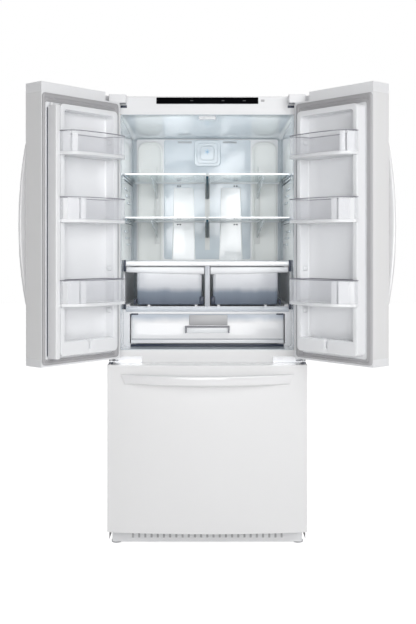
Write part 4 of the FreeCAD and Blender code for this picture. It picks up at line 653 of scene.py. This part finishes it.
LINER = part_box("fridge_liner")
FRONT = in_mm(LINER, 1)[0]
MOUTH = in_mm(LINER, 0)[1] - LINER_WALL
FLOOR = in_mm(LINER, 2)[0] + LINER_WALL
CEILING = in_mm(LINER, 2)[1] - LINER_WALL
CEILING_DROP = 17.6
COVER_HIGH = in_mm(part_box("air_duct_cover"), 2)[1] - 3
BACK_FACE = in_mm(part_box("air_duct_cover"), 1)[0]
COVER_TOP_Z = in_mm(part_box("drawer_frames"), 2)[1]
COVER_LOW = COVER_TOP_Z + 4
PANTRY_TOP_Z = in_mm(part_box("pantry_drawer"), 2)[1] + 31
UPPER_SHELF_Z = in_mm(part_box("shelf_frames"), 2)[1]

DUCT_HALF_WIDTH = 194
RIB_SPAN, RIB_FLARE = (62, 150), 0.2
RECESS_SPAN, BEAD_SPAN = (200, 313), (222, 230)
OUTLET_HEIGHTS, OUTLET_PLACES, OUTLET_WIDTH = (16, -19, -161, -192), (118, 129), 7    # from the upper shelf
SLOT_SPAN, SLOT_ROWS = (70, 133), (0, 4.5)
SHELF_GAP = 5                      # from the middle to the end of a shelf's trims
ARM_DROP = 76
SIDE_ARM_PLACE, SLEEVE_PLACE = 224, 8
RUNNER_PITCH, RUNNER_LENGTH, RUNNER_STEP = 60, 150, 26
CRISPER_SPAN = (22, 281)
RAIL_DEPTH, RAIL_HEIGHT, RAIL_SAG = 13, 21, 8
WHEEL_SPANS = ((14.5, 31, 33), (283, 292, 24))     # near, far and height of each
PANTRY_SET_BACK = 22               # from the grip's front to the bowl's
GRIP_HALF, GRIP_DROP, GRIP_HEIGHT = 88, 46, 28
LABEL_SPAN = (-72, 80)
BRACKET_WIDTH = 8
# Half widths of the dark strip under the pantry, a painted shadow, and of the post between the crispers.
SHADOW_STRIP_HALF, POST_HALF = 304, 9.5
TOUCH_MARKS = (-60, 60, 142)
SENSOR_SPAN = (206, 220)
VENTS, VENT_PITCH, VENT_HALF = 25, 24, 4
HINGE_SLOT_SPAN, HINGE_SLOT_HEIGHTS = (309, 334), (1690, 1700)
HINGE_SHADOW_WASHERS = ((9, 9, 13), (6.5, 12, 18))              # radius, and its heights above the hinge


def make_fridge_liner():
    """The fridge compartment as one vacuum-formed shell with rounded inner corners."""
    depth = in_mm(LINER, 1)[1] - LINER_WALL - FRONT
    mesh = bmesh.new()

    def level(grow, share, radius):
        top = CEILING - CEILING_DROP * share
        return [(px, FRONT + depth * share, pz)
                for px, pz in rounded((-MOUTH - grow, MOUTH + grow), (FLOOR - grow, top + grow), radius)]

    shares = (0.9, 0.6, 0.3, 0.1, 0.03)
    outer = [[(px, py + LINER_WALL, pz) for px, py, pz in level(LINER_WALL - 0.3, 1, 12)]]
    outer += [level(LINER_WALL, share, 12) for share in shares]
    outer += [level(LINER_WALL, 0, 6), level(0.8, 0, 5), level(0, 0.004, 6)]
    inner = [level(0, share, radius) for share, radius in zip(shares[::-1], (7, 10, 14, 18, 22))]
    inner += [level(-1.5, 0.975, 24), level(-5, 0.992, 24), level(-12, 1, 24)]
    loft(mesh, outer + inner)
    piece(mesh, "fridge_liner_shell", "root", "cabinet_liner", None, ["fridge_liner"])


def make_duct_cover():
    """The cool centre of the back panel and the two flared, bright light ribs on it."""
    mesh = bmesh.new()
    raised(mesh, (-DUCT_HALF_WIDTH, DUCT_HALF_WIDTH), (COVER_LOW, COVER_HIGH), 8, BACK_FACE,
           ((0, 1), (0, -1.4), (1, -2.6), (3, -3)))
    piece(mesh, "duct_cover_centre", "root", "cool_panel")
    middle = sum(RIB_SPAN) / 2

    def tapered(side, inset, y):
        up = shrunk((COVER_LOW - 60, UPPER_SHELF_Z - 26), inset)
        points = rounded(shrunk(RIB_SPAN, inset), up, 6 - inset)
        flare = RIB_FLARE / (UPPER_SHELF_Z - COVER_LOW)
        return [(side * (px + (px - middle) * flare * (UPPER_SHELF_Z - pz)), BACK_FACE + y, pz)
                for px, pz in points]

    mesh = bmesh.new()
    for side in (-1, 1):
        loft(mesh, [tapered(side, inset, y) for inset, y in ((0, -2.5), (0, -4), (1.5, -4.8), (5, -5.2))])
    piece(mesh, "light_ribs", "root", "bright_panel")


def make_recess_panels():
    """Dished panels beside the duct cover, each with an upright bead."""
    mesh = bmesh.new()
    for side in (-1, 1):
        raised(mesh, mirrored(side, *RECESS_SPAN), (COVER_LOW - 60, COVER_HIGH - 10), 40, BACK_FACE,
               ((0, 1), (0, -1.5), (3, -3), (6, -3.2), (9, -3), (12, -1.4), (16, -0.9)))
        raised(mesh, mirrored(side, *BEAD_SPAN), (COVER_LOW + 70, COVER_HIGH - 120), 4, BACK_FACE,
               ((0, 0), (0, -2.5), (1, -4), (2.5, -4.6)))
    piece(mesh, "side_recess_panels", "root", "cream_panel")


def make_air_outlets():
    """Dark outlets beside the light ribs and two rows of slots under the top of the cover."""
    mesh = bmesh.new()
    for side in (-1, 1):
        for rise in OUTLET_HEIGHTS:
            height = UPPER_SHELF_Z + rise
            for place in OUTLET_PLACES:
                block(mesh, mirrored(side, place, place + OUTLET_WIDTH), (BACK_FACE - 6.6, BACK_FACE - 2),
                      (height - 3, height + 2.5), 0.8)
    piece(mesh, "air_outlets", "root", "dark_bracket")
    mesh = bmesh.new()
    for side in (-1, 1):
        for row in SLOT_ROWS:
            block(mesh, mirrored(side, *SLOT_SPAN), (BACK_FACE - 4.2, BACK_FACE - 2),
                  (COVER_HIGH - 14 + row, COVER_HIGH - 11.6 + row), 0.8)
    piece(mesh, "air_slots", "root", "grey_mark")


def make_filter():
    """The filter's square housing with its stepped rings, and a six-armed mark on it."""
    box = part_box("filter_cover")
    centre, half = sum(in_mm(box, 2)) / 2, in_mm(box, 0)[1]
    face = in_mm(box, 1)[0]
    ring = [(0, 1), (0, -1.5), (1.4, -2.6), (3, -2.6), (4.4, -1.5), (4.4, 1)]
    mesh = bmesh.new()
    for size, radius, y in ((half, 20, BACK_FACE - 4), (half * 0.8, 18, face + 2),
                            (half * 0.56, 16, face + 1.4)):
        loft(mesh, [[(px, y + rise, pz) for px, pz in
                     rounded((-size + inset, size - inset), (centre - size + inset, centre + size - inset),
                             radius - inset)] for inset, rise in ring], ring=True)
    size = half - 2
    raised(mesh, (-size, size), (centre - size, centre + size), 18, 0,
           ((0, BACK_FACE - 0.2), (0, face + 5), (2, face + 3.2), (5, face + 3)))
    piece(mesh, "filter_housing", "root", "cool_panel", None, ["filter_cover"])
    mesh = bmesh.new()
    for step in range(3):
        turn = Matrix.Rotation(math.radians(60 * step + 30), 3, "Y")
        arm = bmesh.ops.create_cube(mesh, size=1)["verts"]
        bmesh.ops.scale(mesh, vec=(24, 1, 2.4), verts=arm)
        bmesh.ops.rotate(mesh, cent=(0, 0, 0), matrix=turn, verts=arm)
        bmesh.ops.translate(mesh, vec=(0, face + 2.6, centre + 6), verts=arm)
    piece(mesh, "filter_mark", "root", "pale_mark")


def shelf_tops():
    """Heights of the two shelf rows, from the glass node's vertices."""
    heights = sorted({round(vertex.co.z / MM, 1) for vertex in NODES["shelf_glass"].data.vertices})
    return [height for height in heights if height > COVER_TOP_Z + 20][1::2]


def make_shelf_trims(tops):
    """Slim bright rails along the front and back of each shelf, and the clear rails at its sides."""
    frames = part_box("shelf_frames")
    front, back = in_mm(frames, 1)
    outer = in_mm(frames, 0)[1]
    trims, rails = bmesh.new(), bmesh.new()
    for top in tops:
        for side in (-1, 1):
            across = mirrored(side, SHELF_GAP, outer)
            bar(trims, across, (front, front + 14), (top - 4.6, top + 1.4), 2.4, 3)
            bar(trims, across, (back - 10, back), (top - 8, top + 1.6), 2, 2)
            block(rails, mirrored(side, outer - 3, outer), (front + 15, back - 11), (top - 7, top + 1.4), 0.8)
            block(rails, mirrored(side, outer - 7, outer), (front + 1, front + 24),
                  (top - 14, top - 7.4), 1.5)
    piece(trims, "shelf_front_trims", "root", "bin_white", None, ["shelf_frames"])
    piece(rails, "shelf_side_rails", "root", "pane_edge")


def make_arms(name, tops, places, width, material, replaces=()):
    """Cantilever arms under the shelves: deep at the wall, shallow at the front, with eased flanks."""
    front, back = in_mm(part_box("shelf_brackets"), 1)
    half = width / 2
    mesh = bmesh.new()
    for top in tops:
        shape = [(front + 8, top - 8.5), (back, top - 8.5), (back, top - ARM_DROP),
                 (back - 24, top - ARM_DROP), (front + 60, top - 26), (front + 8, top - 18)]
        middle = sum(point[0] for point in shape) / len(shape)
        for place in places:
            slices = ((place - half, 1.2), (place - half + 1, 0), (place + half - 1, 0), (place + half, 1.2))
            loft(mesh, [[(x, py + inset * (1 if py < middle else -1),
                          pz + inset * (1 if pz < top - 20 else -1)) for py, pz in shape]
                        for x, inset in slices])
    piece(mesh, name, "root", material, None, replaces)


def make_shelf_runners(tops):
    """Ledges on the liner's side walls: one under each shelf and three stepped ones below it."""
    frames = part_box("shelf_frames")
    front, back = in_mm(frames, 1)
    outer = in_mm(frames, 0)[1]
    mesh = bmesh.new()
    for top in tops:
        for side in (-1, 1):
            block(mesh, mirrored(side, MOUTH - 1.5, outer + 1), (front + 10, back - 30),
                  (top - 22, top - 15), 1.5)
            for step in range(3):
                place, low = front + 40 + RUNNER_PITCH * step, top - 60 - RUNNER_STEP * step
                block(mesh, mirrored(side, MOUTH - 1, outer + 2.5), (place, place + RUNNER_LENGTH),
                      (low, low + 8), 2)
    piece(mesh, "side_shelf_runners", "root", "cabinet_liner")


def make_crisper(side):
    """A bowl with soft edges, its colour painted shade and reflection that darkens towards the bottom, under a
    white rail whose lower edge sags to the middle.
    """
    body = f"{side}_crisper"
    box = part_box(body)
    across, depth, up = (in_mm(box, axis) for axis in range(3))
    sign = -1 if side == "left" else 1
    bowl_x, bowl_y = mirrored(sign, *CRISPER_SPAN), (depth[0] + 2, depth[1])
    low, rim = up[0], up[1] - 15
    profile = ((9, low), (4, low + 1), (1, low + 4), (0.4, low + 9), (0, rim), (2.2, rim), (2.8, low + 10),
               (4, low + 6), (9, low + 3))
    mesh = bmesh.new()
    loft(mesh, [basin(bowl_x, bowl_y, inset, z) for inset, z in profile])
    # The bowl's material paints shade and reflection by height: dark at the bottom, pale at the top.
    piece(mesh, f"{side}_crisper_bowl", body, "crisper_clear", None, [body])
    near, far = sorted(across, key=abs)
    loops, steps = [], 16
    for step in range(steps + 1):
        share = step / steps
        edge = up[1] - RAIL_HEIGHT - RAIL_SAG * math.cos(share * math.pi / 2)
        section = rounded((depth[0], depth[0] + RAIL_DEPTH), (edge, up[1] - 0.5), 4, 3)
        loops.append([(near + (far - near) * share, py, pz) for py, pz in section])
    mesh = bmesh.new()
    loft(mesh, loops)
    piece(mesh, f"{side}_crisper_rail", body, "rail_white")
    mesh = bmesh.new()
    for inside, outside, height in WHEEL_SPANS:
        block(mesh, mirrored(sign, inside, outside), (bowl_y[0] - 1, bowl_y[0] + 20),
              (low + 1, low + height), 3)
    piece(mesh, f"{side}_crisper_wheels", body, "dark_bracket")


def make_pantry():
    """The wide pantry drawer: a clear bowl with a label, a lower rail and its seam."""
    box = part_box("pantry_drawer")
    across, depth, (low, top) = (in_mm(box, axis) for axis in range(3))
    front = depth[0] + PANTRY_SET_BACK
    profile = ((8, low), (3, low + 1), (0.6, low + 5), (0, low + 10), (0, top - 1), (0.6, top), (2.2, top),
               (3, top - 2), (3, low + 10), (8, low + 3))
    mesh = bmesh.new()
    loft(mesh, [basin(across, (front, depth[1]), inset, z) for inset, z in profile])
    piece(mesh, "pantry_bowl", "pantry_drawer", "pantry_clear", None, ["pantry_drawer"])
    strips = (("lower_rail", shrunk(across, 2), (front - 4, front + 1), (low + 1, low + 17), 2, "bin_white"),
              ("rail_seam", shrunk(across, 3), (front - 4.6, front), (low + 17.5, low + 19.5), 0.8, "grey_rail"),
              ("centre_label", LABEL_SPAN, (front - 2.4, front + 1), (top - 44, top - 3), 2, "grey_strip"))
    for name, span, y, z, edge, material in strips:
        mesh = bmesh.new()
        block(mesh, span, y, z, edge)
        piece(mesh, f"pantry_{name}", "pantry_drawer", material)


def make_pantry_grip():
    """The smoked bracket that hangs before the pantry's label, with a white plate inside it."""
    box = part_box("pantry_drawer")
    front, top = in_mm(box, 1)[0] + PANTRY_SET_BACK, in_mm(box, 2)[1] - GRIP_DROP
    low, y = top - GRIP_HEIGHT, (front - 21, front + 0.5)
    mesh = bmesh.new()
    block(mesh, (-GRIP_HALF, GRIP_HALF), y, (top - 5, top), 2)
    for side in (-1, 1):
        block(mesh, mirrored(side, GRIP_HALF, GRIP_HALF - 6), y, (low, top), 2)
    piece(mesh, "pantry_grip_frame", "pantry_drawer", "smoke")
    mesh = bmesh.new()
    block(mesh, (-GRIP_HALF + 7, GRIP_HALF - 7), (front - 16, front - 12), (low + 1, top - 6), 1.5)
    piece(mesh, "pantry_grip_plate", "pantry_drawer", "bin_white")


def make_cover_ends():
    """Dark end brackets around the drawers' covers, and a dark strip under the pantry that is a painted shadow of
    the gap there.
    """
    front = in_mm(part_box("drawer_frames"), 1)[0]
    y = (front - 6, front + 12)
    mesh = bmesh.new()
    for side in (-1, 1):
        across = mirrored(side, MOUTH - 1, MOUTH - 1 - BRACKET_WIDTH)
        block(mesh, across, y, (COVER_TOP_Z - 40, COVER_TOP_Z + 6), 2)
        block(mesh, across, y, (PANTRY_TOP_Z - 12, PANTRY_TOP_Z + 16), 2)
        block(mesh, mirrored(side, MOUTH - 30, MOUTH - 58), (front - 1.5, front + 4),
              (PANTRY_TOP_Z - 34, PANTRY_TOP_Z - 28), 1.2)
    # A dark strip under the pantry: painted shadow standing in for the gap between the pantry and the
    # compartment's floor.
    block(mesh, (-SHADOW_STRIP_HALF, SHADOW_STRIP_HALF), y, (FLOOR + 0.5, FLOOR + 9.5), 1.5)
    piece(mesh, "cover_end_brackets_and_gap_shadow", "root", "dark_bracket")


def make_cover_fronts():
    """Front edges of the crisper cover and the pantry cover, and the post between the crispers."""
    front = in_mm(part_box("drawer_frames"), 1)[0]
    across = -MOUTH + 9.5, MOUTH - 9.5
    mesh = bmesh.new()
    bar(mesh, across, (front - 4, front + 3), (COVER_TOP_Z - 14, COVER_TOP_Z - 1.4), 3, 4)
    piece(mesh, "crisper_cover_front", "root", "bright_panel")
    mesh = bmesh.new()
    bar(mesh, across, (front - 3.5, front + 3), (PANTRY_TOP_Z - 21, PANTRY_TOP_Z - 1), 4, 4)
    piece(mesh, "pantry_cover_front", "root", "cover_band")
    mesh = bmesh.new()
    block(mesh, (-POST_HALF, POST_HALF), (front - 1, front + 8), (PANTRY_TOP_Z, COVER_TOP_Z - 18), 2)
    piece(mesh, "crisper_post_front", "root", "grey_rail")


def make_panel_details():
    """The control panel's touch marks as plain bars, and the small sensor beside it."""
    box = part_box("control_panel")
    face, centre = in_mm(box, 1)[0], sum(in_mm(box, 2)) / 2
    mesh = bmesh.new()
    for place in TOUCH_MARKS:
        block(mesh, (place - 6, place + 6), (face - 0.3, face + 0.6), (centre - 1.2, centre + 1.2), 0.4)
    piece(mesh, "panel_touch_marks", "root", "dim_mark")
    mesh = bmesh.new()
    block(mesh, SENSOR_SPAN, (FRONT - 1.2, FRONT + 1.5), (centre - 4, centre + 4), 1.1)
    piece(mesh, "panel_sensor", "root", "grey_strip")


def make_toe_grille():
    """The foot panel: a rounded plate with a row of upright grey slots, their grey a painted shade for the dark
    behind the openings.
    """
    across, depth, up = (in_mm(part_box("toe_grille"), axis) for axis in range(3))
    mesh = bmesh.new()
    raised(mesh, across, up, 6, depth[1], ((0, 0), (0, -2.2), (0.8, -3), (3, -3), (5, -2.2)))
    piece(mesh, "toe_panel", "root", "white_plastic", None, ["toe_grille"])
    mesh = bmesh.new()
    # Grey bars stand for the slots: their grey is painted shade for the darkness behind the grille.
    for step in range(VENTS):
        place = (step - VENTS // 2) * VENT_PITCH
        block(mesh, (place - VENT_HALF, place + VENT_HALF), (depth[1] - 2.9, depth[1] - 1),
              (up[0] + 16, up[1] - 14), 0.8)
    piece(mesh, "toe_panel_slot_shade", "root", "grey_strip")


def make_hinge_details():
    """Dark washers on the lower hinges' pins, which also stand for the painted shadow in the gap under the doors,
    and a slot at each end of the compartment's head.
    """
    base = in_mm(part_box("door_hinges"), 2)[0]
    pin = JOINTS["left_door_hinge"]["pos_m"]
    mesh = bmesh.new()
    for side in (-1, 1):
        centre = side * abs(pin[0]) / MM, pin[1] / MM
        # Dark washers at the pin: partly real washers, partly painted shadow of the gap between the doors and the
        # drawer.
        for radius, low, high in HINGE_SHADOW_WASHERS:
            circle = [(centre[0] + radius * math.cos(math.radians(20 * step)),
                       centre[1] + radius * math.sin(math.radians(20 * step))) for step in range(18)]
            loft(mesh, [[(px, py, base + height) for px, py in circle] for height in (low, high)])
        block(mesh, mirrored(side, *HINGE_SLOT_SPAN), (FRONT - 0.25, FRONT + 1.5), HINGE_SLOT_HEIGHTS, 0.6)
    piece(mesh, "hinge_washers_and_shadow", "root", "dark_bracket")


make_fridge_liner()
make_duct_cover()
make_recess_panels()
make_air_outlets()
make_filter()
SHELF_TOPS = shelf_tops()
make_shelf_trims(SHELF_TOPS)
make_arms("shelf_middle_arms", SHELF_TOPS, (0,), 10, "teal_arm", ["shelf_brackets"])
make_arms("shelf_side_arms", SHELF_TOPS, (-SIDE_ARM_PLACE, SIDE_ARM_PLACE), 4, "arm_sleeve")
make_arms("shelf_middle_sleeves", SHELF_TOPS, (-SLEEVE_PLACE, SLEEVE_PLACE), 3, "arm_sleeve")
make_shelf_runners(SHELF_TOPS)
make_hinge_details()
make_toe_grille()
make_panel_details()
for side in ("left", "right"):
    make_crisper(side)
make_pantry()
make_pantry_grip()
make_cover_ends()
make_cover_fronts()


# ---------------------------------------------------------------- studio

FLOOR_SIZE = 30
FLOOR_GLOW = 0.9


def make_floor():
    """A white floor that looks brighter to the camera than the light it casts on the object."""
    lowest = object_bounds()[0].z
    bpy.ops.mesh.primitive_plane_add(size=FLOOR_SIZE, location=(0, 0, lowest))
    floor = bpy.context.active_object
    floor.name = "studio_floor"
    material, tree, shader = new_material("Studio_Floor")
    shader.inputs["Base Color"].default_value = (0.95, 0.95, 0.95, 1)
    shader.inputs["Roughness"].default_value = 0.7
    shader.inputs["Emission Color"].default_value = (1, 1, 1, 1)
    ray = tree.nodes.new("ShaderNodeLightPath")
    glow = tree.nodes.new("ShaderNodeMath")
    glow.operation = "MULTIPLY"
    glow.inputs[1].default_value = FLOOR_GLOW
    tree.links.new(ray.outputs["Is Camera Ray"], glow.inputs[0])
    tree.links.new(glow.outputs["Value"], shader.inputs["Emission Strength"])
    floor.data.materials.append(material)


def make_light(name, place, target, size, power):
    data = bpy.data.lights.new(name, "AREA")
    data.shape = "RECTANGLE"
    data.size, data.size_y = size
    data.energy = power
    lamp = bpy.data.objects.new(name, data)
    lamp.location = place
    lamp.rotation_euler = (Vector(target) - Vector(place)).to_track_quat("-Z", "Y").to_euler()
    bpy.context.scene.collection.objects.link(lamp)
    return lamp


def make_world(seen=1.0, cast=0.235):
    """A white backdrop that casts less light than the camera sees."""
    world = bpy.data.worlds.new("Studio_World")
    world.use_nodes = True
    tree = world.node_tree
    backdrop = tree.nodes["Background"]
    backdrop.inputs["Color"].default_value = (1, 1, 1, 1)
    ray = tree.nodes.new("ShaderNodeLightPath")
    level = spread(tree, ray.outputs["Is Camera Ray"], cast, seen)
    tree.links.new(level, backdrop.inputs["Strength"])
    bpy.context.scene.world = world


def make_camera():
    data = bpy.data.cameras.new("camera")
    data.sensor_width = 36
    data.lens = 52.9
    data.shift_x = 0.0011
    data.shift_y = -0.1026
    camera = bpy.data.objects.new("camera", data)
    camera.location = (0, -3.686, 1.1516)
    camera.rotation_euler = (math.radians(90), 0, 0)
    bpy.context.scene.collection.objects.link(camera)
    bpy.context.scene.camera = camera


make_floor()
make_world()
make_light("key_light", place=(1.7, -3.6, 2.3), target=(0, -0.2, 0.95), size=(2.2, 2.2), power=57)
make_light("front_fill", place=(-0.3, -4.8, 1.3), target=(0, 0, 1.25), size=(2.4, 1.6), power=60)
for side in (-1, 1):
    cabinet_light = make_light("cabinet_light", place=(side * 0.2, -0.14, 1.38),
                               target=(side * 0.1, 0.5, 1.34), size=(0.2, 0.5), power=0.72)
    cabinet_light.visible_camera = False
    make_light("rear_fill", place=(side * 3.2, 3.0, 2.1), target=(side * 0.2, 0.2, 0.9), size=(2.2, 2.2),
               power=55)
make_camera()
bpy.context.scene.view_settings.view_transform = "Standard"
bpy.context.scene.cycles.transparent_max_bounces = 32
